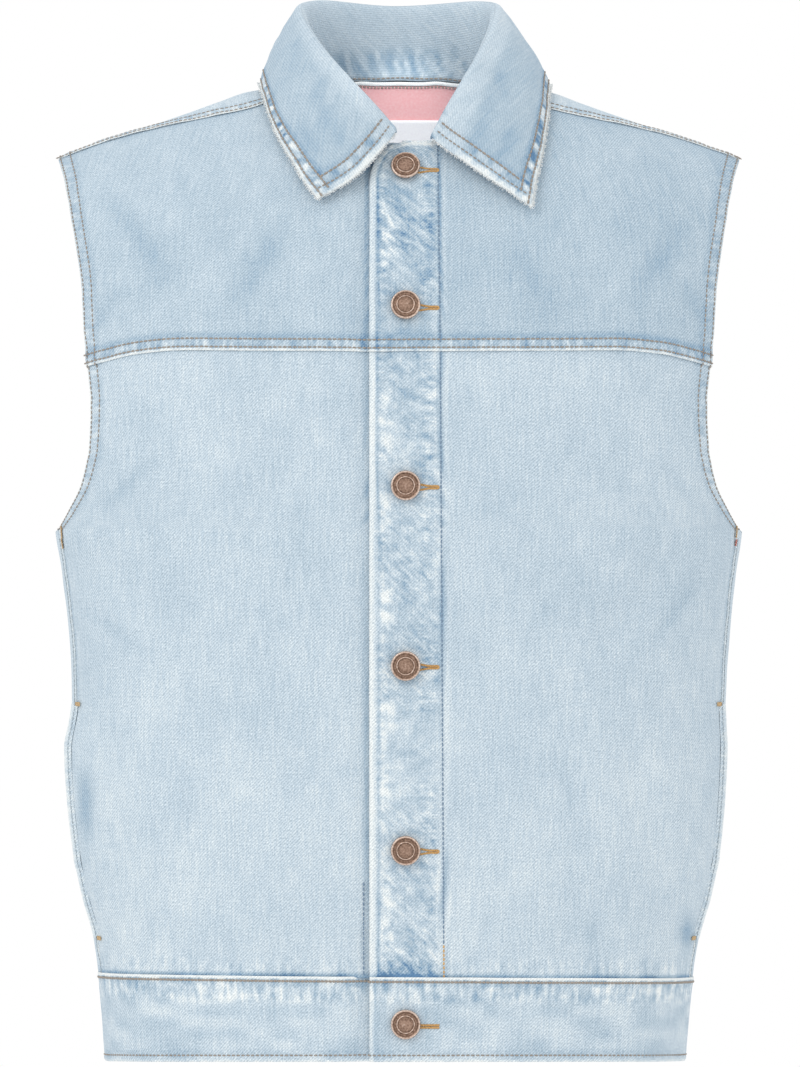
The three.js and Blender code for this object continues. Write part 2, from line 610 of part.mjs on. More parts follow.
// A piece laid inside the back, `inside` behind its outer surface.
function insideBack(half, topOf, bottomOf, cells, inside, thick) {
  const grid = steps(cells.rows).map((v) => steps(cells.columns).map((u) => {
    const x = lerp(half, -half, u);
    const below = shoulderTop(x) - lerp(bottomOf(x), topOf(x), v);
    return spotOn(bodyPoint, Math.PI - angleAt(x, 0), riseAt(x, below));
  }));
  return wall(moved(grid, -inside), thick);
}

// The cotton that covers the inside of the back neck.
function backNeckFacing() {
  const top = (x) => heightAt(x, backTop(Math.abs(x))) - FACING.below;
  const bottom = (x) => top(x) - FACING.depth * (1 - 0.25 * (x / FACING.half) ** 2);
  return insideBack(FACING.half, top, bottom, FACING_GRID, CLOTH + FACING.room, FACING_CLOTH);
}

// The woven tape sewn over it.
function neckLabel() {
  const inside = CLOTH + FACING.room + FACING_CLOTH + SEAM;
  return insideBack(LABEL.half, () => LABEL.top, () => LABEL.bottom, LABEL_GRID, inside, LABEL_CLOTH);
}

// One button, as a turned tack whose foot rests on the cloth.
function button() {
  const profile = BUTTON_HEAD.map(({ r, h }) => new THREE.Vector2(r, h));
  const geometry = new THREE.LatheGeometry(profile, BUTTON_SIDES);
  geometry.deleteAttribute('normal');
  geometry.deleteAttribute('uv');
  return facingOut(mergeVertices(geometry, 1e-4));
}

function piece(name, geometry, finish) {
  const mesh = new THREE.Mesh(geometry, new THREE.MeshStandardMaterial(finish));
  mesh.name = name;
  return mesh;
}

// Sets a button on the top front, its axis straight out of the cloth.
function placeButton(mesh, height) {
  const { point, out } = frontSpot(1, angleAt(BUTTON_X, height), height);
  mesh.position.copy(point).addScaledVector(out, SEAM);
  mesh.quaternion.setFromUnitVectors(new THREE.Vector3(0, 1, 0), out);
  return mesh;
}

const vest = new THREE.Group();
vest.add(
  piece('front_yoke_left', frontYoke(1), YOKE_DENIM),
  piece('front_yoke_right', frontYoke(-1), YOKE_DENIM),
  piece('front_panel_left', frontPanel(1), DENIM),
  piece('front_panel_right', frontPanel(-1), DENIM),
  piece('back_panel', backPanel(), DENIM),
  piece('waistband', waistband(), DENIM),
  piece('collar', collar(), YOKE_DENIM),
  piece('pocket_welt_left', pocketWelt(1), EDGE_DENIM),
  piece('pocket_welt_right', pocketWelt(-1), EDGE_DENIM),
  piece('back_neck_facing', backNeckFacing(), PINK_COTTON),
  piece('neck_label', neckLabel(), WHITE_TAPE),
);
BUTTON_HEIGHTS.forEach((height, k) => {
  vest.add(placeButton(piece(`button_${k + 1}`, button(), COPPER), height));
});

export default vest;
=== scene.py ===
# %% [markdown]
# A sleeveless denim vest. The CAD frame gives its true form, in one shared set of axes: +Z up,
# the front faces -Y, and +X is the wearer's left. This script dresses that form: each cloth
# piece is laid on the same surface as its solid, with finer seams, creases and wear. It could
# be modelled freely and fitted at the end, but then the two models would drift apart.

import bpy
import numpy as np
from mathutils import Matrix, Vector


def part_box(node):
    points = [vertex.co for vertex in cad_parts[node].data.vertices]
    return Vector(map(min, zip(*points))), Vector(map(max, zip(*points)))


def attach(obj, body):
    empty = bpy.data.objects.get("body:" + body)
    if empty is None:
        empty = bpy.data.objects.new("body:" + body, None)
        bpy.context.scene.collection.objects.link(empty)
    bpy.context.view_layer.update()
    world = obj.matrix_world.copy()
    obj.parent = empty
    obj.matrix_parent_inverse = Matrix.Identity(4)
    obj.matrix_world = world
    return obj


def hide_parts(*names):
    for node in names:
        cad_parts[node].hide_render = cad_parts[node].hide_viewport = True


MM = 0.001  # the tables below are in millimetres, Blender is in metres

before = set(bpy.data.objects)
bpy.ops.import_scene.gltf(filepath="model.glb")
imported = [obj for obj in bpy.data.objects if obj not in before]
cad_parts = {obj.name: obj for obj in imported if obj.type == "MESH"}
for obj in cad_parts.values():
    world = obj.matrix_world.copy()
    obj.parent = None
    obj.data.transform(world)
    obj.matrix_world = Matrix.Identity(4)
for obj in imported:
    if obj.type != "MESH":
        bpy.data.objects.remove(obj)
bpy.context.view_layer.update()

# %% [markdown]
# The photograph is a straight front view: a level camera far in front of the chest, so there is
# almost no perspective. A nearer camera would widen the chest against the hem. This one takes its
# lens from the size that a pixel has on the garment, so the picture is true to scale.

# %% Camera
PHOTO = (800, 1067)
PIXEL = 0.62 * MM  # of the photograph, in the plane of the shoulders
CAMERA_AWAY = 5.0
CAMERA_AIM = (0.0006, -0.275)  # x and z that the middle of the picture looks at
SENSOR = 36.0

camera_data = bpy.data.cameras.new("camera")
camera_data.sensor_width = SENSOR
camera_data.lens = SENSOR * CAMERA_AWAY / (PHOTO[1] * PIXEL)
camera = bpy.data.objects.new("camera", camera_data)
camera.location = (CAMERA_AIM[0], -CAMERA_AWAY, CAMERA_AIM[1])
camera.rotation_euler = (np.pi / 2, 0, 0)
bpy.context.collection.objects.link(camera)
bpy.context.scene.camera = camera
bpy.context.scene.view_settings.view_transform = "Standard"

# %% [markdown]
# Such a picture is lit by large soft boxes, a little more from the left. One bright sky would do
# it too, but without a key lamp the creases and seams lose their small shadows.


# %% Lamps
def linear(hex_colour):
    """An sRGB colour such as #c8d9e4 as linear red, green, blue and alpha."""
    parts = [int(hex_colour[k : k + 2], 16) / 255 for k in (1, 3, 5)]
    return (*[p / 12.92 if p <= 0.04045 else ((p + 0.055) / 1.055) ** 2.4 for p in parts], 1.0)


def hang_light(data, place, aim):
    """Hangs a lamp at a place and turns it to look at its aim."""
    light = bpy.data.objects.new(data.name, data)
    light.location = place
    light.rotation_euler = (Vector(aim) - Vector(place)).to_track_quat("-Z", "Y").to_euler()
    bpy.context.collection.objects.link(light)


CHEST = (0, 0, -0.28)
for name, place, size, watts in (
    ("key", (-1.9, -2.2, 1.5), 1.6, 20),
    ("fill", (1.6, -2.6, 0.2), 2.4, 5),
    ("rim", (0.5, 2.4, 1.6), 2.0, 10),
):
    data = bpy.data.lights.new(name, "AREA")
    data.size, data.energy = size, watts
    hang_light(data, place, CHEST)

# a narrow lamp that looks into the open neck, so that the facing isn't lost in shade
lamp = bpy.data.lights.new("neck lamp", "SPOT")
lamp.energy, lamp.spot_size, lamp.spot_blend, lamp.shadow_soft_size = 285, np.radians(1.6), 1.0, 0.01
hang_light(lamp, (0.004, -3.0, 1.0), (0.003, 0.055, -0.012))

# %% [markdown]
# Finishes and stitches are all built from nodes. They could be linked one line at a time, but one
# helper that takes settings and inputs together keeps each node on a single line. The paper lies
# well below the vest, which hangs in the air.


# %% Nodes, sky and paper
def add(tree, kind, inputs=None, **settings):
    """Adds a node: its settings, then its inputs by name or number, each a value or a link."""
    node = tree.nodes.new(kind)
    for key, value in settings.items():
        setattr(node, key, value)
    for key, value in (inputs or {}).items():
        if isinstance(value, bpy.types.NodeSocket):
            tree.links.new(value, node.inputs[key])
        else:
            node.inputs[key].default_value = value
    return node


def new_material(name):
    material = bpy.data.materials.new(name)
    material.use_nodes = True
    material.node_tree.nodes.clear()
    return material, material.node_tree


world = bpy.data.worlds.new("studio")
world.use_nodes = True
world.node_tree.nodes.clear()
sky = add(world.node_tree, "ShaderNodeBackground", {"Color": (1, 1, 1, 1), "Strength": 1.0})
add(world.node_tree, "ShaderNodeOutputWorld", {"Surface": sky.outputs[0]})
bpy.context.scene.world = world

FLOOR = -1.9  # well below the hem: the vest hangs in the air, filled out as if it were worn
paper, tree = new_material("white studio paper")
shader = add(tree, "ShaderNodeBsdfPrincipled", {"Base Color": linear("#f7f7f7"), "Roughness": 0.95})
add(tree, "ShaderNodeOutputMaterial", {"Surface": shader.outputs[0]})
bpy.ops.mesh.primitive_plane_add(size=30, location=(0, 0, FLOOR))
floor = bpy.context.object
floor.name = "floor"
floor.data.materials.append(paper)
print("camera lens", round(camera_data.lens, 1), "mm")

# %% [markdown]
# Denim is a warp-faced twill: blue warp over white weft, in fine diagonals. Washing rubs the
# raised places white and leaves the troughs blue. So every cloth piece carries a mask of wear and
# painted shade: red is worn (above half) or dyed (below), and below half it also holds painted
# shade in creases, under laps and beside folds; green and blue are the laddered puckers that run
# across a level or an upright seam, and alpha is where the wash dragged the button strip. A
# picture of cloth could be laid on instead, but it repeats and brings its own light with it, so
# the shader draws the yarns on the piece's own UV map, in millimetres.

# %% Nodes for the finishes
# The real twill is about 1 mm from line to line. It is drawn a little coarser, so that it
# doesn't vanish between the pixels.
TWILL = 1.45


def noise(tree, at, scale, detail=2.0, roughness=0.55, turn=0.0):
    """Noise from 0 to 1 on millimetre coordinates, with its own scale along U and V."""
    if turn:
        at = add(tree, "ShaderNodeVectorRotate", {"Vector": at, "Angle": turn}).outputs[0]
    place = add(tree, "ShaderNodeMapping", {"Vector": at, "Scale": (*scale, 1.0)})
    values = {0: place.outputs[0], "Scale": 1.0, "Detail": detail, "Roughness": roughness}
    return add(tree, "ShaderNodeTexNoise", values).outputs["Fac"]


def plus(tree, total, value, weight, middle=0.5):
    """total + weight * (value - middle)"""
    node = add(tree, "ShaderNodeMath", {0: value, 1: weight, 2: -weight * middle}, operation="MULTIPLY_ADD")
    both = add(tree, "ShaderNodeMath", {0: node.outputs[0], 1: total}, operation="ADD")
    return both.outputs[0]


def times(tree, a, b):
    return add(tree, "ShaderNodeMath", {0: a, 1: b}, operation="MULTIPLY").outputs[0]


def ramp(tree, value, stops):
    node = add(tree, "ShaderNodeValToRGB", {0: value})
    elements = node.color_ramp.elements
    while len(elements) < len(stops):
        elements.new(0.5)
    for element, (place, colour) in zip(elements, stops):
        element.position, element.color = place, linear(colour)
    return node.outputs[0]


print("a twill line every", TWILL, "mm")

# %% Denim
# from the dyed troughs to the rubbed edges
WASHED_INDIGO = [
    (0.0, "#5f84a8"), (0.25, "#8fa9be"), (0.5, "#adbfcc"),
    (0.65, "#becdd8"), (0.8, "#d0dbe1"), (1.0, "#e6ebeb"),
]


def denim(name, level, weave=1.0):
    """Stonewashed denim: how pale the cloth is, from 0 to 1, and how strongly its yarns show."""
    material, tree = new_material(name)
    uv = add(tree, "ShaderNodeUVMap", uv_map="cloth").outputs[0]
    at = add(tree, "ShaderNodeVectorMath", {0: uv, "Scale": 1000.0}, operation="SCALE").outputs[0]
    wear_shade_masks = add(tree, "ShaderNodeAttribute", attribute_name="wear_shade_masks").outputs
    masks = add(tree, "ShaderNodeSeparateColor", {0: wear_shade_masks["Color"]})
    parts = add(tree, "ShaderNodeSeparateXYZ", {0: at})
    wobble = noise(tree, at, (0.12, 0.12), 1.0)
    across = add(tree, "ShaderNodeMath", {0: parts.outputs[0], 1: parts.outputs[1]}, operation="SUBTRACT")
    phase = plus(tree, times(tree, across.outputs[0], 2 * np.pi / (TWILL * 2**0.5)), wobble, 3.0)
    twill = add(tree, "ShaderNodeMath", {0: phase}, operation="SINE").outputs[0]
    speck = noise(tree, at, (0.85, 0.85), 3.0, 0.75)
    slub = noise(tree, at, (0.8, 0.045), 2.0, 0.6)
    weft = noise(tree, at, (0.05, 0.7), 2.0, 0.6)
    cloud = noise(tree, at, (0.021, 0.015), 3.0, 0.6)
    blotch = noise(tree, at, (0.11, 0.08), 2.0, 0.6)
    total = plus(tree, level, twill, 0.05 * weave, 0.0)
    total = plus(tree, total, speck, 0.55 * weave)
    total = plus(tree, total, slub, 0.4)
    total = plus(tree, total, weft, 0.14)
    total = plus(tree, total, cloud, 0.3)
    total = plus(tree, total, blotch, 0.14)
    # the red mask: rubbed wear above half, dye and painted shade below it
    total = plus(tree, total, masks.outputs[0], 1.0)
    rungs_u = noise(tree, at, (0.24, 0.07), 2.0, 0.6)
    rungs_v = noise(tree, at, (0.07, 0.24), 2.0, 0.6)
    drag = noise(tree, at, (0.09, 0.24), 4.0, 0.72, turn=np.pi / 4)
    for mask, rungs, weight in (
        (masks.outputs[1], rungs_u, 1.5), (masks.outputs[2], rungs_v, 1.5), (wear_shade_masks["Alpha"], drag, 1.7),
    ):
        total = plus(tree, total, times(tree, plus(tree, 0.0, rungs, 1.0, 0.53), mask), weight, 0.0)
    colour = ramp(tree, total, WASHED_INDIGO)
    value = plus(tree, plus(tree, 1.0, speck, 0.85 * weave), twill, 0.085 * weave, 0.0)
    colour = add(tree, "ShaderNodeHueSaturation", {"Value": value, "Color": colour}).outputs[0]
    rough = plus(tree, 0.0, twill, 0.5, 0.0)
    rough = plus(tree, rough, speck, 2.0)
    bump = add(tree, "ShaderNodeBump", {"Strength": 0.45, "Distance": 0.0002, "Height": rough})
    finish = {"Base Color": colour, "Roughness": 0.92, "Normal": bump.outputs[0]}
    shader = add(tree, "ShaderNodeBsdfPrincipled", finish)
    shader.inputs["Specular IOR Level"].default_value = 0.15
    shader.inputs["Sheen Weight"].default_value = 0.12
    shader.inputs["Sheen Roughness"].default_value = 0.5
    add(tree, "ShaderNodeOutputMaterial", {"Surface": shader.outputs[0]})
    return material


BODY_DENIM = denim("stonewashed denim", 0.655)
YOKE_DENIM = denim("stonewashed denim, bluer", 0.565)
COLLAR_DENIM = denim("stonewashed denim, collar", 0.58, 0.6)
EDGE_DENIM = denim("stonewashed denim, worn edge", 0.76)
print("kinds of denim", len(bpy.data.materials) - 1)

# %% [markdown]
# The other finishes need no map, since their yarns are finer than a pixel. Threads, cotton and
# tape are two close tones in a fine noise, which is enough at the size that they are seen.
# The buttons are antique copper: a "rubbed" value on their points makes the rings bright and
# leaves the sunk places dark.


# %% Other finishes
def plain(name, low, high, rough, scale, sheen=0.0):
    """A finish whose colour moves between two tones in a fine noise on object coordinates."""
    material, tree = new_material(name)
    at = add(tree, "ShaderNodeTexCoord").outputs["Object"]
    grain = add(tree, "ShaderNodeTexNoise", {0: at, "Scale": scale, "Detail": 2.0}).outputs["Fac"]
    colour = ramp(tree, grain, [(0.3, low), (0.7, high)])
    finish = {"Base Color": colour, "Roughness": rough}
    shader = add(tree, "ShaderNodeBsdfPrincipled", finish)
    shader.inputs["Sheen Weight"].default_value = sheen
    add(tree, "ShaderNodeOutputMaterial", {"Surface": shader.outputs[0]})
    return material


def ringed_copper(name):
    """Antique copper: bright on the rubbed rings, nearly black where the head is sunk."""
    material, tree = new_material(name)
    height = add(tree, "ShaderNodeAttribute", attribute_name="rubbed").outputs["Fac"]
    at = add(tree, "ShaderNodeTexCoord").outputs["Object"]
    grain = add(tree, "ShaderNodeTexNoise", {0: at, "Scale": 900.0, "Detail": 3.0}).outputs["Fac"]
    tones = [(0.0, "#3f322b"), (0.35, "#7d6455"), (0.65, "#a98c7b"), (1.0, "#e0cdc0")]
    colour = ramp(tree, plus(tree, height, grain, 1.0), tones)
    bump = add(tree, "ShaderNodeBump", {"Strength": 0.3, "Distance": 0.0002, "Height": grain})
    finish = {"Base Color": colour, "Roughness": 0.38, "Metallic": 0.85, "Normal": bump.outputs[0]}
    shader = add(tree, "ShaderNodeBsdfPrincipled", finish)
    add(tree, "ShaderNodeOutputMaterial", {"Surface": shader.outputs[0]})
    return material


PINK = plain("pink cotton", "#fbb8ba", "#ffc8c9", 0.85, 700, sheen=0.1)
TAPE = plain("white woven tape", "#f8f6f9", "#fefdfe", 0.55, 900)
GREY_THREAD = plain("grey-brown thread", "#827970", "#a69c92", 0.7, 1500)
BLUE_THREAD = plain("blue-grey thread", "#5d7690", "#8398ac", 0.7, 1500)
TAN_THREAD = plain("tan thread", "#b98a4a", "#dcb477", 0.65, 1500)
PALE_THREAD = plain("pale grey thread", "#97a3aa", "#b4bfc5", 0.7, 1500)
BEIGE_THREAD = plain("beige thread", "#a88a63", "#d8bd92", 0.65, 1500)
RUST_THREAD = plain("rust thread", "#b4553f", "#d77f66", 0.65, 1500)
WHITE_THREAD = plain("white cotton fibre", "#e9eef0", "#fbfbf9", 0.8, 1500)
COPPER = ringed_copper("antique copper")
print("materials", len(bpy.data.materials))

# %% [markdown]
# A vest filled out as if worn has no straight line: its girth, its shoulders and its seams all
# run in soft curves. They could be Blender curves, but a function can be asked for its value at
# any height, and a slope that never overshoots keeps a hem from bulging between two measures.


# %% Soft steps and curves
def lerp(a, b, t):
    return a + (b - a) * t


def smooth(value, low, high):
    t = np.clip((value - low) / (high - low), 0, 1)
    return t * t * (3 - 2 * t)


def curve(rows):
    """A smooth curve through (x, y) rows with no overshoot, level beyond both ends."""
    x, y = np.array(rows, float).T
    width, rise = np.diff(x), np.diff(y)
    chord = rise / width
    slope = np.concatenate([chord[:1], np.zeros(len(x) - 2), chord[-1:]])
    for k in range(1, len(x) - 1):
        a, b = chord[k - 1], chord[k]
        slope[k] = 0 if a * b <= 0 else 2 * a * b / (a + b)

    def at(value):
        value = np.clip(value, x[0], x[-1])
        i = np.clip(np.searchsorted(x, value) - 1, 0, len(width) - 1)
        t = (value - x[i]) / width[i]
        start, end = slope[i] * width[i], slope[i + 1] * width[i]
        cubic = (start + end - 2 * rise[i]) * t**3
        return y[i] + start * t + (3 * rise[i] - 2 * start - end) * t * t + cubic

    return at


print("half way up a soft step:", smooth(5.0, 0, 10))

# %% [markdown]
# These are the measures that a maker would take: girth and depth by height, the slope of the
# shoulders, the armhole, the neckline and the yoke's seam. The broad folds are troughs between two
# points. A simulation could fold the cloth, but it would find folds of its own, not these. The
# solids were made from the same tables.

# %% Measures of the garment
CLOTH, SEAM = 1.6, 0.3
ROUNDNESS, CAP = 2.4, 70
SIDE_SEAM = np.radians(78.6)
UNDERARM, UNDERARM_DIP, SHOULDER_TIP, NECK_POINT = -272, 2, 211, 75
LEVEL = CAP * (np.pi / 2 - 1)
YOKE_WIDTH = 195
WAIST_SEAM, WAIST_TILT, WAIST_SKEW = -549.5, 3.5, -1.5
HEM_LEVEL, HEM_TILT = -601.5, 5.5
OVERLAP_EDGE, UNDERLAP_EDGE = -18.0, -20.0  # x of the front's folded edge on top and of the one below
CORNER_X, CORNER_TOP, CORNER_DROP = 2, -36, 25  # the rounded upper corner of the edge on top

# height, half width, depth in front, depth behind, middle
BODY = np.array([
    (-612, 178.5, 100, 95, -2.5), (-552, 183.5, 101, 96, -2), (-524, 187.5, 102.5, 96.5, -1.6),
    (-493, 195.5, 105, 97.5, -1.2), (-462, 199.8, 107.5, 98.5, -0.8), (-420, 201.8, 110, 100, -0.5),
    (-380, 202.3, 112, 101, -0.3), (-340, 204.5, 114, 103, 0), (-300, 208.3, 115.5, 105, 0),
    (-272, 212.5, 116, 107, 0), (-200, 214, 114, 110, 0), (-140, 218, 105, 108, 0),
    (-80, 223, 85, 98, 0), (-33, 226, 62, 81, 0), (0, 226, 50, 65, 0), (60, 226, 40, 52, 0),
])
half_width, front_depth, back_depth, middle = (curve(BODY[:, [0, k]]) for k in (1, 2, 3, 4))
shoulder_curve = curve([
    (0, 52), (20, 50), (40, 41), (50, 31), (60, 17), (66, 9.5), (70, 5.5), (76, 3.5), (84, 0.5),
    (96, -2), (112, -8), (130, -14.5), (148, -20.5), (164, -25.5), (182, -31.5), (198, -37.5),
    (213, -43.5),
])
armhole_x = curve([
    (-272, 209), (-260, 202), (-245, 195), (-229, 191), (-214, 189.5), (-198, 189), (-152, 193),
    (-121, 195), (-90, 200), (-59, 206), (-43.5, SHOULDER_TIP),
])
front_neck = curve([
    (-20, -37), (0, -34.5), (20, -34), (30, -30), (42, -24), (55, -16), (66, -9), (NECK_POINT, -4),
])
yoke_seam = curve([
    (-20, -163), (0, -162.5), (60, -162), (105, -161.5), (140, -163.5), (170, -167.5), (195, -171),
])
# distance from the middle, how far below the top of the shoulder, and on which side of it
BACK_TOP = [
    (0, 44, -1), (14, 43, -1), (28, 39.5, -1), (40, 34, -1), (50, 25, -1), (60, 12, -1),
    (66, 5.5, -1), (70, 2, -1), (73, 2, 1), (NECK_POINT, 8, 1), (84, 10.5, 1), (95, 11.5, 1),
    (112, 9, 1), (130, 6, 1), (150, 3.5, 1), (172, 2, 1), (SHOULDER_TIP, 0.8, 1),
]
BACK_STOPS = [row[0] for row in BACK_TOP]
# soft troughs, or swells below 0: in front or behind, from x, z to x, z, width and depth
FOLDS = [
    (1, 140, -398, 172, -525, 12, 3), (1, -172, -440, -178, -512, 9, 2.4),
    (1, 176, -280, 120, -352, 16, 2.2), (1, -180, -286, -132, -345, 15, 2),
    (1, -60, -430, -84, -528, 17, -1.8), (1, 62, -380, 84, -520, 18, -1.6),
    (0, -165, -262, -70, -372, 19, 3.4), (0, 168, -270, 84, -352, 17, 3),
    (0, -130, -410, -154, -532, 15, 3.2), (0, 122, -428, 150, -534, 14, 2.6),
    (0, 22, -330, 44, -510, 22, 2.4), (0, -58, -400, -40, -520, 20, -2),
]

# %% [markdown]
# The body of the garment is one surface: rounded sections by height, which turn over the
# shoulders at the top. A point on it is given by the angle round the body, from centre front
# towards +X, and by its rise, which is its height until the shoulder turns and then runs on
# over it. Front and back could be two surfaces, but one alone has no step at the side seam.


# %% From angle and rise to a point
def shoulder_top(x):
    return shoulder_curve(np.abs(x))


def power(value):
    return np.abs(value) ** (2 / ROUNDNESS)


def angle_at(x, z):
    """The angle round the body of a point at x, z."""
    part = (x - middle(z)) / half_width(z)
    return np.sign(part) * np.arcsin(np.minimum(1, np.abs(part)) ** (ROUNDNESS / 2))


def rise_at(x, below, way=-1):
    """The rise of a point that lies below the top of the shoulder, in front of it or behind."""
    turn = np.arccos(np.clip(1 - below / CAP, 0, 1))
    return shoulder_top(x) + LEVEL + way * CAP * turn + np.minimum(0, CAP - below)


def height_at(x, rise):
    """The height of a point at a rise."""
    top = shoulder_top(x)
    turn = (top + LEVEL - rise) / CAP
    return np.where(turn >= np.pi / 2, rise, top - CAP * (1 - np.cos(turn)))


def fold_depth(folds, ahead, x, z):
    """How far the troughs and swells of one side move a point inwards."""
    total = np.zeros(np.broadcast(x, z).shape)
    for face, x0, z0, x1, z1, wide, depth in folds:
        dx, dz = x1 - x0, z1 - z0
        part = ((x - x0) * dx + (z - z0) * dz) / (dx * dx + dz * dz)
        away = ((x - x0) * dz - (z - z0) * dx) / np.hypot(dx, dz) / wide
        ends = smooth(part, -0.15, 0.3) * (1 - smooth(part, 0.65, 1.15))
        total += np.where(ahead == bool(face), depth * ends * np.exp(-away * away), 0)
    return total


def body_point(angle, rise):
    angle, rise = np.broadcast_arrays(angle, rise)
    sine, low = np.sin(angle), np.minimum(rise, 0)
    x = middle(low) + half_width(low) * np.sign(sine) * power(sine)
    turn = np.minimum((shoulder_top(x) + LEVEL - rise) / CAP, np.pi / 2)
    z = height_at(x, rise)
    ahead = np.cos(angle) * np.sign(turn) >= 0
    rounding = power(np.cos(angle)) * np.abs(np.sin(turn))
    depth = np.where(ahead, front_depth(z), back_depth(z)) * rounding
    depth = depth - fold_depth(FOLDS, ahead, x, z) * np.minimum(1, rounding)
    return np.stack([x, np.where(ahead, -depth, depth), z], -1)


def unit(vectors):
    return vectors / np.maximum(np.linalg.norm(vectors, axis=-1, keepdims=True), 1e-9)


def spot_on(angle, rise):
    """Points of the body surface and the directions that face out of it."""
    across = body_point(angle + 0.01, rise) - body_point(angle - 0.01, rise)
    up = body_point(angle, rise + 0.5) - body_point(angle, rise - 0.5)
    return body_point(angle, rise), unit(np.cross(across, up))

# %% [markdown]
# Each piece ends where a seam or an opening was cut: the armhole, the front edge with its rounded
# corner, the seam of the waistband, the hem and the neck. Cutting a finished surface with another
# object leaves ragged edges, so every piece is laid out between these lines from the start.


# %% Edges of the pieces
def front_limit(rise):
    """Outer limit of a front: the side seam, and above it the armhole."""
    x = np.full(np.shape(rise), float(SHOULDER_TIP))
    for _ in range(4):
        x = armhole_x(height_at(x, rise))
    return np.where(rise <= UNDERARM, SIDE_SEAM, angle_at(x, np.minimum(rise, 0)))


def centre_edge(on_top, z):
    """x of the edge of a front at centre front."""
    if not on_top:
        return np.full(np.shape(z), UNDERLAP_EDGE)
    up = np.clip((z - CORNER_TOP + CORNER_DROP) / CORNER_DROP, 0, 1)
    return lerp(OVERLAP_EDGE, CORNER_X, 1 - np.sqrt(1 - up * up))


def waist_seam(angle):
    return WAIST_SEAM + WAIST_TILT * np.cos(angle) + WAIST_SKEW * np.sin(angle)


def hem(angle):
    return HEM_LEVEL + HEM_TILT * np.cos(angle)


BACK_REL = curve([(x, rise_at(x, below, way) - shoulder_top(x)) for x, below, way in BACK_TOP])


def back_top(x):
    return shoulder_top(x) + BACK_REL(x)


print("half width at the underarm", half_width(np.array(UNDERARM)), "mm")

# %% [markdown]
# On a real vest each panel is one layer, turned under and stitched at its seams, so it is
# thicker, harder and more worn there. Sculpting could raise the seams, but not evenly for half a
# metre. So relief and wear are formulas of the distance from an edge, with a smooth noise on top.


# %% Noise and masks
LINE_KNOTS, KNOTS, DRIFT_START = 1024, 128, 900


def ripple(at, pitch, seed):
    """Smooth noise from -1 to 1 along a line, with one knot every pitch."""
    values = np.random.default_rng(seed).uniform(-1, 1, LINE_KNOTS)
    k = np.floor(at / pitch).astype(int)
    return lerp(values[k % LINE_KNOTS], values[(k + 1) % LINE_KNOTS], smooth(at / pitch - k, 0, 1))


def drift(u, v, pitch, seed):
    """Smooth noise from -1 to 1 over a surface, with one knot every pitch each way."""
    u, v = (u + DRIFT_START) / pitch, (v + DRIFT_START) / pitch
    values = np.random.default_rng(seed).uniform(-1, 1, (KNOTS, KNOTS))
    i, j = np.floor(u).astype(int), np.floor(v).astype(int)
    s, t = smooth(u - i, 0, 1), smooth(v - j, 0, 1)
    i, j, next_i, next_j = i % KNOTS, j % KNOTS, (i + 1) % KNOTS, (j + 1) % KNOTS
    here = lerp(values[i, j], values[next_i, j], s)
    beside = lerp(values[i, next_j], values[next_i, next_j], s)
    return lerp(here, beside, t)


def bell(value, middle_at, width):
    """1 at a value, falling to 0 over a width on both sides."""
    return np.exp(-(((value - middle_at) / width) ** 2))


def within(value, low, high, soft=1.0):
    """1 between two values, 0 outside them, with soft ends."""
    return smooth(value, low - soft, low + soft) * (1 - smooth(value, high - soft, high + soft))


def from_edge(points, edge):
    """Distance of each grid point from one edge of the grid, measured along its lines."""
    axis = 0 if edge in ("bottom", "top") else 1
    steps = np.linalg.norm(np.diff(points, axis=axis), axis=-1)
    start = np.zeros_like(steps[:1] if axis == 0 else steps[:, :1])
    far = np.concatenate([start, np.cumsum(steps, axis=axis)], axis=axis)
    if edge in ("top", "right"):
        far = (far[-1:] if axis == 0 else far[:, -1:]) - far
    return far


def spaced(length, step, fine, band):
    """Fractions from 0 to 1 along a length, with finer steps in a band at both ends."""
    rows = int(round(band / fine))
    middle_part = np.linspace(band, length - band, int(round((length - 2 * band) / step)) + 1)
    low = np.linspace(0, band, rows + 1)[:-1]
    return np.concatenate([low, middle_part, length - low[::-1]]) / length


print("masks: bell", bell(0.0, 0.0, 1.0), "within", within(2.0, 0.0, 4.0))

# %% [markdown]
# The weave has to run straight along each piece as it was cut, also where the piece is bent. A
# strip such as the collar is therefore laid flat by its own lengths, one triangle after another,
# and its flat places are its UV map. Blender's own unwrap could do it, but it turns and scales.


# %% Laying a strip flat
def unroll(low, high):
    """Lays a bent strip flat: both of its long edges in the plane, all their lengths kept."""
    flat_low, flat_high = [np.zeros(2)], [np.array([0, np.linalg.norm(high[0] - low[0])])]

    def place(a, b, from_a, from_b):
        along = (b - a) / np.linalg.norm(b - a)
        gap = np.linalg.norm(b - a)
        part = (gap * gap + from_a * from_a - from_b * from_b) / (2 * gap)
        aside = np.sqrt(max(from_a * from_a - part * part, 0))
        return a + along * part + np.array([along[1], -along[0]]) * aside

    for k in range(1, len(low)):
        a, b = flat_low[-1], flat_high[-1]
        far = np.linalg.norm(low[k] - low[k - 1]), np.linalg.norm(low[k] - high[k - 1])
        flat_low.append(place(a, b, *far))
        far = np.linalg.norm(high[k] - low[k]), np.linalg.norm(high[k] - high[k - 1])
        flat_high.append(place(flat_low[-1], b, *far))
    return np.array(flat_low), np.array(flat_high)


print("strip tool ready")

# %% [markdown]
# A cloth piece keeps its points, the directions out of it, its relief and its four masks
# together, so that a hem or a crease changes all of them at once. Its lines of stitches are
# read off the finished surface, at a distance from one of its edges. They could be projected on
# the mesh later, but the grid already knows where its edges are.


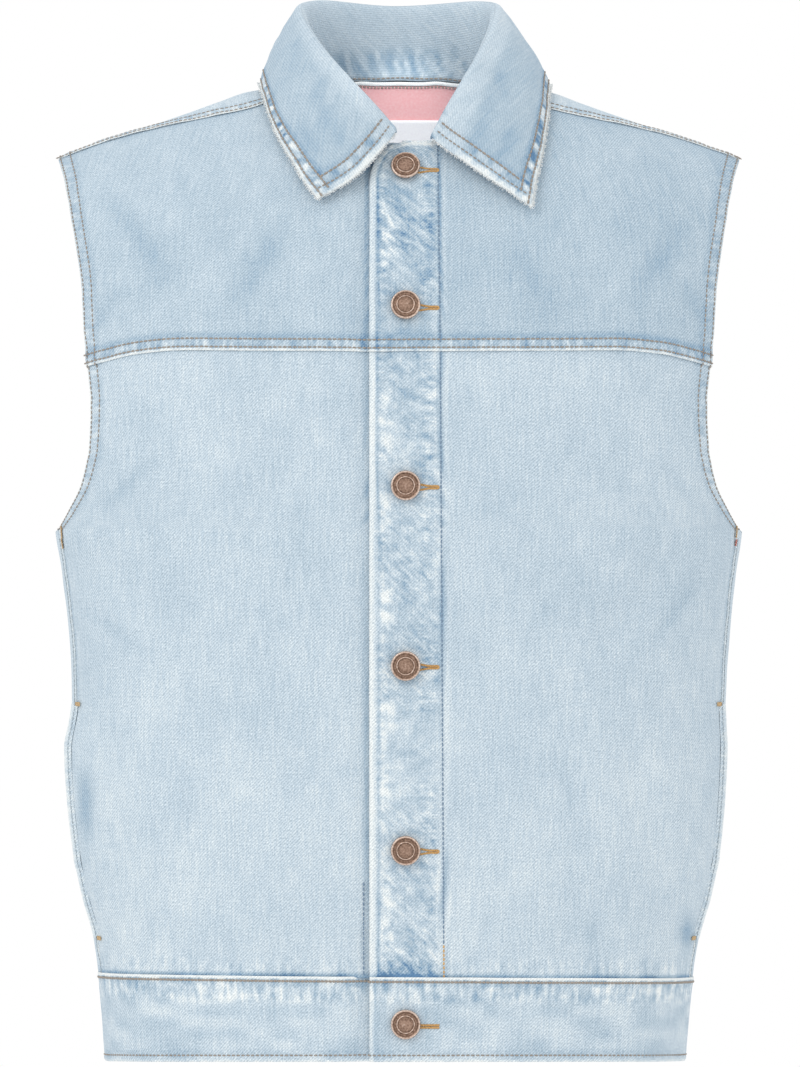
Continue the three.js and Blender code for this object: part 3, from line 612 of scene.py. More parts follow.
# %% A piece of cloth
class Cloth:
    """A grid of points whose columns run round the body with the angle, and its relief."""

    def __init__(self, name, points, out):
        self.name, self.base, self.out = name, points, out
        self.relief = np.zeros(points.shape[:2])
        self.wear_and_shade = np.zeros(points.shape[:2])
        self.rungs_u = np.zeros(points.shape[:2])
        self.rungs_v = np.zeros(points.shape[:2])
        self.drag = np.zeros(points.shape[:2])
        self.edge = {side: from_edge(points, side) for side in ("bottom", "top", "left", "right")}

    def outer(self):
        return self.base + self.out * self.relief[..., None]

    def soften(self, amount=0.45):
        """Broad hand of the cloth, the same for all pieces at one place."""
        x, y, z = np.moveaxis(self.base, -1, 0)
        side = np.where(y > 0, 40, 0)
        self.relief += amount * drift(x + side * 50, z, 46, 1)
        self.relief += 0.35 * amount * drift(x + side * 50, z, 17, 2)

    def hemmed(self, edge, along, lines=(1.6, 8.2), rise=0.45, mask=1.0, vertical=False, wear_and_shade=0.3):
        """A turned and stitched edge: raised, grooved at its stitches and puckered."""
        d = self.edge[edge]
        last = lines[-1]
        band = (1 - smooth(d, last + 0.6, last + 2.6)) * mask
        self.relief += rise * band
        for line in lines:
            self.relief -= 0.28 * bell(d, line, 0.9) * mask
        pucker = ripple(along, 5.5, 11) * within(d, 0.5, last, 1.5)
        self.relief += (0.3 * pucker + 0.3 * ripple(along, 9, 12) * (1 - smooth(d, 1, last + 9))) * mask
        self.wear_and_shade += wear_and_shade * (1 - smooth(d, 0.6, 2.0)) * mask - 0.1 * bell(d, last + 2, 1.6) * mask
        rungs = within(d, 0.8, last + 1.2, 1.0) * mask
        if vertical:
            self.rungs_v += 0.6 * rungs
        else:
            self.rungs_u += rungs

    def creases(self, rows, crease_shade=0.22):
        x, y, z = np.moveaxis(self.base, -1, 0)
        depth = fold_depth(rows, y < 0, x, z)
        self.relief -= depth
        # painted shade: the troughs of the creases are darkened in proportion to their depth
        self.wear_and_shade -= crease_shade * depth

    def line(self, edge, inset, start=0.0, end=1.0):
        """A line of points on the finished surface, at a distance from one edge of the grid."""
        points, out, far = self.outer(), self.out, self.edge[edge]
        if edge in ("left", "right"):
            points, out, far = (a.swapaxes(0, 1) for a in (points, out, far))
        if edge in ("top", "right"):
            points, out, far = points[::-1], out[::-1], far[::-1]
        count = points.shape[1]
        path, ways = [], []
        for k in range(int(start * (count - 1)), int(end * (count - 1)) + 1):
            row = np.interp(inset, far[:, k], np.arange(len(far)))
            i = min(int(row), len(far) - 2)
            path.append(lerp(points[i, k], points[i + 1, k], row - i))
            ways.append(lerp(out[i, k], out[i + 1, k], row - i))
        return np.array(path), unit(np.array(ways))

    def shell(self, material, slot, nodes, thick=1.3, anchor=0, flat=None, turned=False):
        """Closes the cloth and gives it its UV map, its wear and painted shade, and its material."""
        round_off = sum(np.exp(-((self.edge[side] / 0.7) ** 2)) for side in self.edge)
        thick = np.broadcast_to(thick, self.relief.shape)
        inset = 0.3 * thick * np.minimum(1, round_off)
        outer = self.base + self.out * (self.relief - inset)[..., None]
        inner = self.base + self.out * (self.relief - thick + inset)[..., None]
        rows, columns = self.relief.shape
        far = self.edge["left"]
        u = far - far[:, anchor, None] + self.base[:, anchor, 0, None]
        v = self.edge["bottom"] + self.base[:1, :, 2]
        # red: wear and painted shade; green and blue: puckers; alpha: the strip's drag
        masks = [0.5 + self.wear_and_shade, self.rungs_u, self.rungs_v, self.drag]
        if flat is not None:
            u, v = flat
        if turned:
            masks[1], masks[2] = masks[2], masks[1]
        self.object = closed_sheet(self.name, outer, inner, u, v, np.stack(masks, -1))
        dress(self.object, material, nodes)
        area = surface_area(outer)
        print(f"{self.name}: {rows} x {columns}, {area / 1e6:.4f} square metres")
        return self.object

# %% [markdown]
# Cloth has two faces and a thin rim. A Solidify modifier would give it an even thickness, but an
# edge that is turned under has to thin out, so the inner face is worked out point by point. The
# wear, the painted shade and the flat places are stored on the mesh, where the finish reads them.


# %% Mesh, UV map and wear
def surface_area(grid):
    a, b = np.diff(grid, axis=0)[:, :-1], np.diff(grid, axis=1)[:-1]
    return float(np.linalg.norm(np.cross(a, b), axis=-1).sum())


def closed_sheet(name, outer, inner, u, v, masks):
    """A mesh with an outer and an inner face and a rim round both."""
    rows, columns = outer.shape[:2]
    number = np.arange(rows * columns).reshape(rows, columns)
    a, b, c, d = number[:-1, :-1], number[:-1, 1:], number[1:, 1:], number[1:, :-1]
    faces = [np.stack([a, b, c, d], -1).reshape(-1, 4)]
    faces.append(np.stack([a, d, c, b], -1).reshape(-1, 4) + rows * columns)
    for line, flip in ((number[0], True), (number[-1], False), (number[:, 0], False), (number[:, -1], True)):
        rim = np.stack([line[:-1], line[1:], line[1:] + rows * columns, line[:-1] + rows * columns], -1)
        faces.append(rim[:, ::-1] if flip else rim)
    mesh = bpy.data.meshes.new(name)
    vertices = np.concatenate([outer.reshape(-1, 3), inner.reshape(-1, 3)]) * MM
    mesh.from_pydata(vertices.tolist(), [], np.concatenate(faces).tolist())
    corners = np.empty(len(mesh.loops), int)
    mesh.loops.foreach_get("vertex_index", corners)
    uv = np.tile(np.stack([u, v], -1).reshape(-1, 2) * MM, (2, 1))
    mesh.uv_layers.new(name="cloth").data.foreach_set("uv", uv[corners].ravel().astype(np.float32))
    wear_shade_masks = mesh.attributes.new("wear_shade_masks", "FLOAT_COLOR", "POINT")
    wear_shade_masks.data.foreach_set("color", np.tile(masks.reshape(-1, 4), (2, 1)).ravel().astype(np.float32))
    mesh.polygons.foreach_set("use_smooth", np.ones(len(mesh.polygons), bool))
    obj = bpy.data.objects.new(name, mesh)
    bpy.context.collection.objects.link(obj)
    return obj


def dress(obj, material, nodes):
    """Gives a piece its material, its body and the solids that it stands for."""
    if not obj.data.materials:
        obj.data.materials.append(material)
    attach(obj, "root")
    if nodes:
        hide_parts(*nodes)


print("cloth tools ready")

# %% [markdown]
# Each front is one plain panel from the waistband to the yoke. The left one lies on top: its
# edge is folded to a button strip 42 mm wide, rubbed white along the fold. Washing leaves short
# drag creases across the strip. They could be painted by hand, but a short table of troughs
# dents the cloth and darkens its troughs with painted shade.

# %% Creases of the fronts
# creases: in front or behind, from x, z to x, z, width and depth, which also sets their painted shade
STRIP_CREASES = [
    (1, -14, -158, 20, -206, 2.6, 0.55), (1, -12, -178, 14, -214, 2.2, 0.45),
    (1, -10, -64, 16, -92, 2.6, 0.5), (1, -13, -84, 18, -112, 2.4, 0.5), (1, -10, -116, 6, -150, 2.4, 0.5),
    (1, 8, -100, 22, -128, 2.2, 0.4), (1, -12, -196, 4, -238, 2.2, 0.5),
    (1, -13, -258, 16, -290, 2.6, 0.55), (1, -12, -276, 20, -302, 2.2, 0.4),
    (1, -10, -300, 10, -340, 2.4, 0.5), (1, -13, -368, 18, -398, 2.6, 0.5),
    (1, -12, -392, 16, -428, 2.4, 0.5), (1, -12, -412, 8, -452, 2.2, 0.45),
    (1, -12, -482, 18, -508, 2.6, 0.5), (1, -12, -500, 14, -536, 2.2, 0.5),
    (1, 2, -520, 22, -545, 2.2, 0.45), (1, 6, -222, 23, -240, 2.2, 0.4), (1, 6, -330, 23, -352, 2.2, 0.4),
]
BODY_CREASES = [
    (1, -196, -318, -150, -352, 4, 0.4), (1, 188, -300, 150, -346, 4, 0.45),
    (1, 60, -500, 40, -545, 4, 0.35), (1, -104, -520, -98, -548, 4, 0.4),
    (1, -150, -505, -160, -545, 4, 0.45), (1, 120, -505, 118, -546, 4, 0.4),
    (1, -150, -230, -182, -262, 4, 0.4), (1, 156, -226, 184, -262, 4, 0.4),
    (1, 96, -404, 110, -470, 5, 0.3), (1, -193, -424, -189, -464, 5, 0.55),
    (0, -120, -505, -126, -545, 4, 0.5), (0, 60, -500, 64, -545, 4, 0.45),
    (0, -20, -505, -16, -546, 4, 0.4), (0, 160, -500, 168, -544, 4, 0.5),
    (0, -170, -320, -120, -366, 5, 0.5), (0, 172, -318, 130, -360, 5, 0.5),
]
# height of the middle and half length of the places on the strip that are rubbed nearly white
STRIP_RUBBED = ((-93, 20), (-205, 17), (-262, 10), (-318, 16), (-385, 14), (-425, 12), (-500, 22))
POCKET_TOP, POCKET_BOTTOM, POCKET_WIDEST = -380, -524, -408
GAPE_FROM = np.radians(58)  # the angle at which the front starts to stand off towards the pocket
GAPE = {1: 1.5, -1: 4.6}
STRIP_RISE = 0.8
PANEL_WIDTH, PANEL_HEIGHT, PANEL_FOOT = 232, 386, -547
ROW_LEAN = 0.006  # how far the strip's row of stitches moves outwards for each millimetre down

# %% [markdown]
# The strip stands up by its folded layer, the lower front sinks to pass below it, and both pocket
# mouths gape. These could be separate pieces, but a small lift along the normal of one surface
# keeps welts, buttons and stitches at the right height, because they ask the same function.


# %% The surface of a front
def front_spot(side, angle, rise):
    """Points of a front, with the strip's rise, the lower front's dip and the pocket's gape."""
    points, out = spot_on(angle, rise)
    x = points[..., 0]
    if side > 0:
        offset = STRIP_RISE * (1 - smooth(x, 20, 25))
    else:
        offset = -(CLOTH + SEAM) * smooth(x, -32, -20)
    up = np.where(
        rise > POCKET_WIDEST,
        smooth(POCKET_TOP - rise, 0, POCKET_TOP - POCKET_WIDEST),
        smooth(rise - POCKET_BOTTOM, 0, POCKET_WIDEST - POCKET_BOTTOM),
    )
    open_part = (rise < POCKET_TOP) & (rise > POCKET_BOTTOM)
    gape = GAPE[side] * up * smooth(np.abs(angle), GAPE_FROM, SIDE_SEAM)
    return points + out * (offset + np.where(open_part, gape, 0))[..., None], out


def in_order(side, *grids):
    """Columns run with the angle, so those of the right front are turned round."""
    return [grid if side > 0 else grid[:, ::-1] for grid in grids]

# %% [markdown]
# The button strip is the most worn place: its fold is rubbed white, its stitched edge is dark and
# puckered, and the wash has left patches and streaks between the buttons. Beside the fold and
# above the band it also carries painted shade. All this is built up from soft bands along the
# strip, since each band can be moved or weakened alone.


# %% Wear of the button strip
def strip_wear(cloth):
    """The folded edge and the puckers of the button strip on the front that lies on top."""
    x, z = cloth.base[..., 0], cloth.base[..., 2]
    edge = cloth.edge["left"]
    from_row = x + ROW_LEAN * (z + 100) - 25.0
    # the folded edge is rubbed pale; just inside it a painted shade line where the raised fold drops
    cloth.wear_and_shade += 0.28 * (1 - smooth(edge, 3.0, 4.4)) - 0.3 * bell(edge, 5.2, 0.8) + 0.1 * bell(edge, 8, 2)
    cloth.relief += 0.4 * (1 - smooth(edge, 3.2, 5.0)) + 0.25 * ripple(z, 7, 21) * (1 - smooth(edge, 2, 6))
    cloth.drag += within(x, -13, 24, 2.5) * (0.7 + 0.55 * ripple(z, 30, 22))
    cloth.relief += 0.4 * drift(x + z, z - x, 7, 23) * within(x, -12, 26, 4)
    for middle_z, half in STRIP_RUBBED:
        patch = bell(x, -7 + 2 * ripple(z, 14, 25), 4.5) * bell(z, middle_z, half)
        cloth.wear_and_shade += 0.4 * patch * smooth(drift(x, z, 4, 24), -0.7, 0.3)
    cloth.wear_and_shade -= 0.34 * bell(from_row, 0, 1.0) - 0.14 * bell(from_row, -3, 1.5)
    cloth.wear_and_shade += 0.14 * bell(from_row, 2.4, 1.0) + 0.16 * drift(x * 0.8, z, 4, 26) * within(x, -12, 24, 3)
    # across the foot of the strip: partly painted shadow above the waistband, partly unworn blue
    cloth.wear_and_shade -= 0.34 * bell(z, -542, 7) * within(x, -13, 26, 3)
    cloth.rungs_v += 0.9 * within(x, 13, 23, 2) * smooth(ripple(z, 25, 27), -0.4, 0.4)
    cloth.rungs_v += 0.8 * within(x, -14, -8, 1.5) * smooth(ripple(z, 22, 28), -0.4, 0.4)

# %% [markdown]
# A panel is laid out as a grid with closer rows and columns at its edges, where the stitched hems
# need them. An even grid would need four times as many faces for the same seams.


# %% Front panels
def front_panel(side):
    on_top = side > 0
    u = spaced(PANEL_WIDTH, 2.3, 1.1, 11)[None, :]
    seam = yoke_seam(lerp(centre_edge(on_top, -200), YOKE_WIDTH, u))
    bottom = waist_seam(side * u * SIDE_SEAM) + SEAM
    rows = spaced(PANEL_HEIGHT, 2.6, 1.2, 12)[:, None] * PANEL_HEIGHT
    low_part = UNDERARM - PANEL_FOOT
    high_part = PANEL_HEIGHT - low_part
    low = lerp(bottom, UNDERARM, np.clip(rows / low_part, 0, 1))
    rise = lerp(low, seam - SEAM, np.clip((rows - low_part) / high_part, 0, 1))
    inner = angle_at(side * centre_edge(on_top, rise), rise)
    angle = lerp(inner, side * (front_limit(rise) - SEAM / 200), u)
    points, out = in_order(side, *front_spot(side, angle, rise))
    cloth = Cloth("front_panel_left_cloth" if on_top else "front_panel_right_cloth", points, out)
    z = points[..., 2]
    outer_edge = "right" if on_top else "left"
    cloth.soften()
    arm = smooth(z, UNDERARM - 4, UNDERARM + 4)
    cloth.hemmed(outer_edge, z, mask=arm, vertical=True)
    side_part = (1 - arm) * smooth(z, POCKET_TOP - 8, POCKET_TOP)
    cloth.hemmed(outer_edge, z, lines=(3.6,), rise=0.35, mask=side_part, vertical=True, wear_and_shade=0.2)
    x, foot, along = points[..., 0], cloth.edge["bottom"], cloth.edge["left"]
    cloth.relief += 0.55 * ripple(along, 10, 31) * np.exp(-foot / 9)
    # a dark line along the foot: partly painted shadow under the waistband's lap, partly unworn blue
    cloth.wear_and_shade += -0.5 * (1 - smooth(foot, 1.4, 4.6)) + 0.2 * ripple(along, 8, 32) * np.exp(-foot / 9)
    cloth.rungs_u += 0.5 * within(foot, 2, 13, 4)
    # painted shadow under the yoke's lap, along the top of the panel
    cloth.wear_and_shade -= 0.12 * np.exp(-cloth.edge["top"] / 2.5)
    cloth.creases(BODY_CREASES)
    cloth.wear_and_shade += 0.05 * smooth(-z, 300, 500)
    thick = 1.3
    if on_top:
        strip_wear(cloth)
        cloth.creases(STRIP_CREASES)
        thick = 1.5
        # painted shade: this front a little darker on the side away from the key lamp, and darker in the
        # lower fold at x 177
        cloth.wear_and_shade -= 0.03 + 0.4 * bell(x, 177, 4.5) * bell(z, -520, 9)
    else:
        # painted shadow cast by the edge of the front on top onto this front below it
        cloth.wear_and_shade -= 0.02 + 0.3 * bell(x, -19.6, 1.3)
        # painted shade in a hollow beside the right pocket
        cloth.wear_and_shade -= 0.26 * bell(x, -194, 5) * bell(z, -443, 26)
    node = "front_panel_left" if on_top else "front_panel_right"
    cloth.shell(BODY_DENIM, "denim", [node], thick, anchor=0 if on_top else -1)
    return cloth


left_panel, right_panel = front_panel(1), front_panel(-1)

# %% [markdown]
# The yoke is a second piece sewn over the top of each front. Its lower edge is turned under
# and lies on the panel, held by two rows of stitches 5 mm apart. One panel with a drawn line
# would look alike from afar, but only a real lap throws the thin shadow that makes a seam.

# %% Front yokes
YOKE_CREASES = [
    (1, -176, -70, -140, -120, 7, 0.7), (1, 178, -80, 146, -134, 7, 0.7), (1, -70, -86, -104, -140, 9, 0.6),
    (1, 66, -92, 98, -148, 8, 0.5), (1, -186, -150, -166, -120, 5, 0.4), (1, 190, -150, 168, -116, 5, 0.4),
]
YOKE_LAP = 2.2  # how far the turned edge reaches down over the panel
YOKE_LIFT = 0.95  # how far it stands off it
TOP_COLUMNS = 7  # columns of the yoke's top that lie on the neckline


def front_yoke(side):
    on_top = side > 0
    centre_top = float(centre_edge(on_top, np.array(float(CORNER_TOP))))
    stops = [x for x in BACK_STOPS if x >= NECK_POINT]
    knots = np.linspace(0, 1, TOP_COLUMNS + len(stops))
    tops = [lerp(centre_top, NECK_POINT, k / TOP_COLUMNS) for k in range(TOP_COLUMNS)] + stops
    u = spaced(212, 1.9, 1.0, 11)[None, :]
    v = 1 - spaced(150, 1.9, 0.9, 12)[:, None]
    top_x = np.interp(u, knots, tops)
    below = shoulder_top(top_x) - front_neck(top_x)
    over = 2 * (shoulder_top(top_x) + LEVEL) - back_top(top_x)
    top = np.where(top_x < NECK_POINT, rise_at(top_x, below), over) - SEAM
    bottom = yoke_seam(lerp(centre_edge(on_top, -200), YOKE_WIDTH, u)) - YOKE_LAP
    rise = lerp(top, bottom, v)
    z = height_at(top_x, rise)
    inner = angle_at(side * centre_edge(on_top, z), z)
    even = lerp(inner, side * front_limit(rise), u)
    tip = angle_at(SHOULDER_TIP, 0)
    start = angle_at(centre_top, 0)
    aimed = lerp(inner, side * front_limit(rise), (angle_at(top_x, 0) - start) / (tip - start))
    angle = lerp(even, aimed, smooth(1 - v, 0, 1))
    points, out = in_order(side, *front_spot(side, angle, rise))
    cloth = Cloth("front_yoke_left_cloth" if on_top else "front_yoke_right_cloth", points, out)
    outer_edge = "right" if on_top else "left"
    foot, along = cloth.edge["bottom"], cloth.edge["left"]
    cloth.soften()
    lap = 1 - smooth(foot, 1.5, 16)
    cloth.relief += YOKE_LIFT * lap
    cloth.hemmed("bottom", along, lines=(2.3, 7.4), rise=0.25, wear_and_shade=0.4)
    cloth.wear_and_shade -= 0.12 * bell(foot, 9.5, 2.5)
    x, z = points[..., 0], points[..., 2]
    cloth.hemmed(outer_edge, z, vertical=True, mask=smooth(cloth.edge["top"], 2, 8))
    # painted shadow under the back's lap at the shoulder seam
    cloth.wear_and_shade -= 0.18 * np.exp(-cloth.edge["top"] / 3) * smooth(np.abs(x), 74, 90)
    cloth.creases(YOKE_CREASES)
    thick = 1.3 - 0.6 * lap
    if on_top:
        strip_wear(cloth)
        cloth.creases(STRIP_CREASES)
        rim = np.concatenate([points[:, 0], points[-1, points[-1, :, 0] < 30]])
        rim = rim[rim[:, 2] > -75]
        near = np.linalg.norm(points[:, :, None] - rim, axis=-1).min(axis=-1)
        extra = smooth(cloth.edge["left"], 3.0, 4.4) - smooth(near, 2.8, 4.2)
        cloth.wear_and_shade += 0.45 * np.maximum(extra, 0)
        cloth.wear_and_shade -= 0.05
    else:
        # painted shadow under the end of the collar, and beside the edge of the front on top
        cloth.wear_and_shade -= 1.1 * bell(x, -16, 5) * bell(z, -43, 7) + 0.3 * bell(x, -19.6, 1.3)
    node = "front_yoke_left" if on_top else "front_yoke_right"
    cloth.shell(YOKE_DENIM, "denim_yoke", [node], thick, anchor=0 if on_top else -1)
    return cloth


left_yoke, right_yoke = front_yoke(1), front_yoke(-1)

# %% [markdown]
# The back is plain and cut in one with the shoulders: it comes over them and laps the front
# yokes on a seam a little forward of the top, with two rows of stitches. It could be given a yoke
# and darts, but nothing shows them, so it has only the shallow creases that the fronts have.

# %% Back
BACK_LAP = 1.6
BACK_LIFT = 0.95


def back_panel():
    last = len(BACK_TOP) - 1
    widest = np.pi - SIDE_SEAM - SEAM / 200
    tip = angle_at(SHOULDER_TIP, 0)
    place = np.linspace(last, -last, 6 * 2 * last + 1)[None, :]
    u, way = np.abs(place) / last, np.sign(place)
    x = np.interp(np.abs(place), np.arange(last + 1), BACK_STOPS)
    # three bands of rows: beside the side seam, round the bottom of the armhole, and beside it
    side_rows = np.linspace(0, 1, 84)
    under_rows = np.linspace(0, 1, 8)[1:]
    arm_rows = np.linspace(0, 1, 92)[1:]
    up_side = np.concatenate([side_rows, np.ones(len(under_rows) + len(arm_rows))])[:, None]
    up_under = np.concatenate([np.zeros(len(side_rows)), under_rows, np.ones(len(arm_rows))])[:, None]
    even = np.concatenate([np.zeros(len(side_rows) + len(under_rows)), arm_rows])[:, None]
    up_arm = even - 0.085 * np.sin(2 * np.pi * even)
    centre = lerp(-300, -276, up_under)
    edge = UNDERARM - UNDERARM_DIP * 4 * up_under * (1 - up_under)
    foot = waist_seam(np.pi - way * u * widest) + SEAM
    level = lerp(foot, lerp(centre, edge, u * u), up_side)
    over = np.where(np.abs(x) > NECK_POINT + 1, BACK_LAP, 0)
    rise = lerp(level, back_top(x) + over, up_arm)
    limit_up = front_limit(np.minimum(rise, rise_at(SHOULDER_TIP, 0)))
    limit = np.where(up_arm > 0, limit_up, lerp(widest, np.pi - widest, up_under))
    part = lerp(u, angle_at(x, 0) / tip, smooth(up_arm, 0, 1))
    points, out = spot_on(np.pi - way * limit * part, rise)
    cloth = Cloth("back_panel_cloth", points, out)
    cloth.soften()
    z = points[..., 2]
    on_shoulder = smooth(np.abs(x), NECK_POINT - 2, NECK_POINT + 4)
    lap = (1 - smooth(cloth.edge["top"], 1.5, 14)) * on_shoulder
    cloth.relief += BACK_LIFT * lap
    cloth.hemmed("top", cloth.edge["left"], lines=(1.4, 6.4), rise=0.2, mask=on_shoulder, wear_and_shade=0.5)
    above_arm = smooth(z, UNDERARM - 4, UNDERARM + 4)
    arm = above_arm * smooth(cloth.edge["top"], 2, 8)
    for side in ("left", "right"):
        cloth.hemmed(side, z, mask=arm, vertical=True)
        cloth.hemmed(side, z, lines=(2.0,), rise=0.3, mask=1 - above_arm, vertical=True)
    foot, along = cloth.edge["bottom"], cloth.edge["left"]
    cloth.relief += 0.55 * ripple(along, 11, 41) * np.exp(-foot / 9)
    # a dark line along the foot: partly painted shadow under the waistband's lap, partly unworn blue
    cloth.wear_and_shade += -0.2 * (1 - smooth(foot, 1.5, 6)) + 0.16 * ripple(along, 8, 42) * np.exp(-foot / 7)
    cloth.creases(BODY_CREASES)
    cloth.shell(BODY_DENIM, "denim", ["back_panel"], 1.3 - 0.6 * lap, anchor=points.shape[1] // 2)
    return cloth


back = back_panel()

# %% [markdown]
# The waistband is a doubled strip, sewn over the lower edges of all the panels. Its left end
# passes over the right one and takes the last button. A closed ring would be simpler, but the
# end of the strip and the step where it passes over the other are what one sees at the button.

# %% Waistband
BAND_LAP = 1.6  # how far the band reaches up over the panels
BAND_LIFT = 0.7
BAND_CLOTH = 2.4
BAND_UNDER_END = 24.0  # x of the end below; the other ends with the front on top
# x of the middle, half width and half height of the rubbed places under the seam
BAND_RUBBED = ((95, 16, 6), (-112, 12, 5), (48, 14, 5), (150, 10, 6))


def waistband():
    start = angle_at(BAND_UNDER_END, HEM_LEVEL)
    end = angle_at(OVERLAP_EDGE, HEM_LEVEL) - 2 * np.pi
    t = np.linspace(0, 1, 480)[None, :]
    closer = t - 0.04 * np.sin(4 * np.pi * t) * np.cos(2 * np.pi * t)
    angle = lerp(start, end, closer)
    v = spaced(53, 1.9, 0.9, 8)[:, None]
    points, out = spot_on(angle, lerp(hem(angle), waist_seam(angle) + BAND_LAP, v))
    x = points[..., 0]
    under = np.where(t < 0.5, smooth(x, -34, -20), 0)
    strip = np.where(t < 0.5, 0, 1 - smooth(angle + 2 * np.pi, 0.1, 0.2))
    points = points + out * (BAND_LIFT + strip * STRIP_RISE - under * (BAND_CLOTH + SEAM + 0.4))[..., None]
    points, out, strip = points[:, ::-1], out[:, ::-1], np.broadcast_to(strip, x.shape)[:, ::-1]
    cloth = Cloth("waistband_cloth", points, out)
    cloth.soften(0.3)
    top, foot, along = cloth.edge["top"], cloth.edge["bottom"], cloth.edge["left"]
    cloth.hemmed("top", along, lines=(2.6,), rise=0.2, wear_and_shade=0.6)
    cloth.hemmed("bottom", along + 500, lines=(4.0,), rise=0.1, wear_and_shade=0.2)
    cloth.rungs_u -= 0.8 * (1 - smooth(foot, 4, 8))
    cloth.rungs_u += 0.9 * within(top, 3, 15, 3)
    cloth.relief += 0.35 * ripple(along, 8, 51) * within(top, 3, 20, 5) + 0.3 * ripple(along, 19, 52)
    cloth.wear_and_shade += 0.26 * (1 - smooth(along, 1.6, 3.0)) - 0.16 * bell(along, 4.2, 0.9)
    for centre, width, height in BAND_RUBBED:
        x, y, z = np.moveaxis(points, -1, 0)
        patch = bell(x, centre, width) * bell(top, 9, height) * (y < 0)
        cloth.wear_and_shade += 0.16 * patch * smooth(drift(x, z, 5, 53), -0.3, 0.7)
    cloth.wear_and_shade += 0.2 * smooth(drift(along * 0.6, foot, 4, 54), -0.1, 0.7) * within(top, 4.5, 16, 3)
    cloth.wear_and_shade += 0.12 * drift(along * 0.5, foot, 7, 55) - 0.04
    thick = 1.7 - 0.8 * (1 - smooth(top, 1.4, 4))
    flat = np.broadcast_to(along.mean(axis=0), along.shape), foot
    cloth.shell(BODY_DENIM, "denim", ["waistband"], thick, flat=flat)
    return cloth


band = waistband()

# %% [markdown]
# The collar is cut in one strip: a stand that rises from the neckline, a roll line, and a fall
# that lies over the shoulders. Its outer edges are left raw and frayed, with two rows of
# stitches inside them, and the seam allowances between them make the ladder of puckers. It could
# be sewn and dropped in a simulation, but its points would fall by chance. So its roll line and
# its outer edge are given at stations round the neck.

# %% Lines of the collar
# station, roll line x y z, outer edge x y z, swell and sag of the fall
COLLAR = np.array([
    (0, -2.4, -69, -28.5, -49.6, -70, -72, 3, 6), (0.1, -21, -65, -8, -57, -66, -61, 4, 2),
    (0.19, -35, -51, 8, -65, -62, -47, 4, 0), (0.27, -48, -31, 25, -75, -52, -29, 4, 0),
    (0.33, -57, -8, 41, -82, -30, -8, 3, 0), (0.38, -60, 16, 50, -85, -3, 3, 3, 0),
    (0.42, -56, 33, 54, -83, 28, 2, 3, 0), (0.46, -44, 49, 56, -70, 54, -3, 4, 0),
    (0.525, -2, 67, 53.5, 0, 78, -12, 4, 0), (0.59, 44, 49, 55.5, 72, 54, -4, 4, 0),
    (0.63, 56, 33, 55, 88, 28, 0, 3, 0), (0.67, 59, 16, 53, 92, -3, 1, 3, 0),
    (0.73, 58, -8, 43, 91, -30, -11, 3, 0), (0.8, 50, -32, 22, 89, -52, -32, 4, 0),
    (0.87, 41, -50, 5, 86, -62, -48, 4, 0), (0.94, 31, -61, -13, 83, -66, -62, 4, 0),
    (1, 20.5, -68, -33, 81, -70, -77, 3, 1),
])
COLLAR_CREASES = [
    (1, -62, -24, -50, -44, 4, 0.5), (1, -48, -12, -34, -40, 5, 0.5), (1, 72, -24, 60, -50, 4, 0.5),
    (1, 56, -8, 48, -40, 5, 0.45), (1, -44, 10, -54, -14, 4, 0.4), (1, 60, 14, 66, -12, 4, 0.4),
]
COLLAR_CLOTH, COLLAR_LIFT, NECK_ROOM = 2, 1.4, 1.8
ROLL_TURN, LEAST_TURN, STAND_BEND = 5, 2.6, 0.55
COLLAR_ENDS = {-1: 2.5, 1: 20.5}  # how far each front end of the collar lies beyond the middle
FALL_FROM = 0.6  # the share of the way over the roll after which the collar lies on the body

# %% [markdown]
# The fall rests on the shoulders without touching them. Collisions could be left to a modifier,
# but a point is pushed off this body more exactly by the formula of the body itself. A spline
# joins the stations, and a few rounds of evening out take away what is left of them.


# %% Helpers for the collar
def clear_of_body(points, gap):
    """Pushes points out until they lie a gap off the body."""
    x, y, z = np.moveaxis(np.atleast_2d(points), -1, 0)
    edge = power(np.cos(angle_at(x, z)))
    reach = np.where(y < 0, front_depth(z), back_depth(z)) * edge
    top = shoulder_top(x)
    sine = np.minimum(np.abs(y) / reach, 1)
    flat = (sine < 0.75) & (z > top - CAP / 2)
    over = np.maximum(z, top - CAP * (1 - np.sqrt(1 - sine * sine)) + gap)
    turn = np.arccos(np.clip(1 - (top - z) / CAP, 0, 1))
    ahead = np.sign(y) * np.maximum(np.abs(y), reach * np.sin(turn) + gap)
    moved = np.stack([x, np.where(flat, y, ahead), np.where(flat, over, z)], -1)
    return moved.reshape(np.shape(points))


def catmull_rom(points, t):
    """A centripetal spline through points, read at fractions t of its spans."""
    points = np.array(points, float)
    last = len(points) - 1
    k = np.minimum((t * last).astype(int), last - 1)
    w = (t * last - k)[:, None]
    ends = np.vstack([2 * points[0] - points[1], points, 2 * points[-1] - points[-2]])
    p0, p1, p2, p3 = ends[k], ends[k + 1], ends[k + 2], ends[k + 3]
    d0, d1, d2 = (np.sqrt(np.linalg.norm(b - a, axis=1))[:, None] for a, b in ((p0, p1), (p1, p2), (p2, p3)))
    start = ((p1 - p0) / d0 - (p2 - p0) / (d0 + d1) + (p2 - p1) / d1) * d1
    end = ((p2 - p1) / d1 - (p3 - p1) / (d1 + d2) + (p3 - p2) / d2) * d1
    square = -3 * p1 + 3 * p2 - 2 * start - end
    return p1 + start * w + square * w**2 + (2 * p1 - 2 * p2 + start + end) * w**3


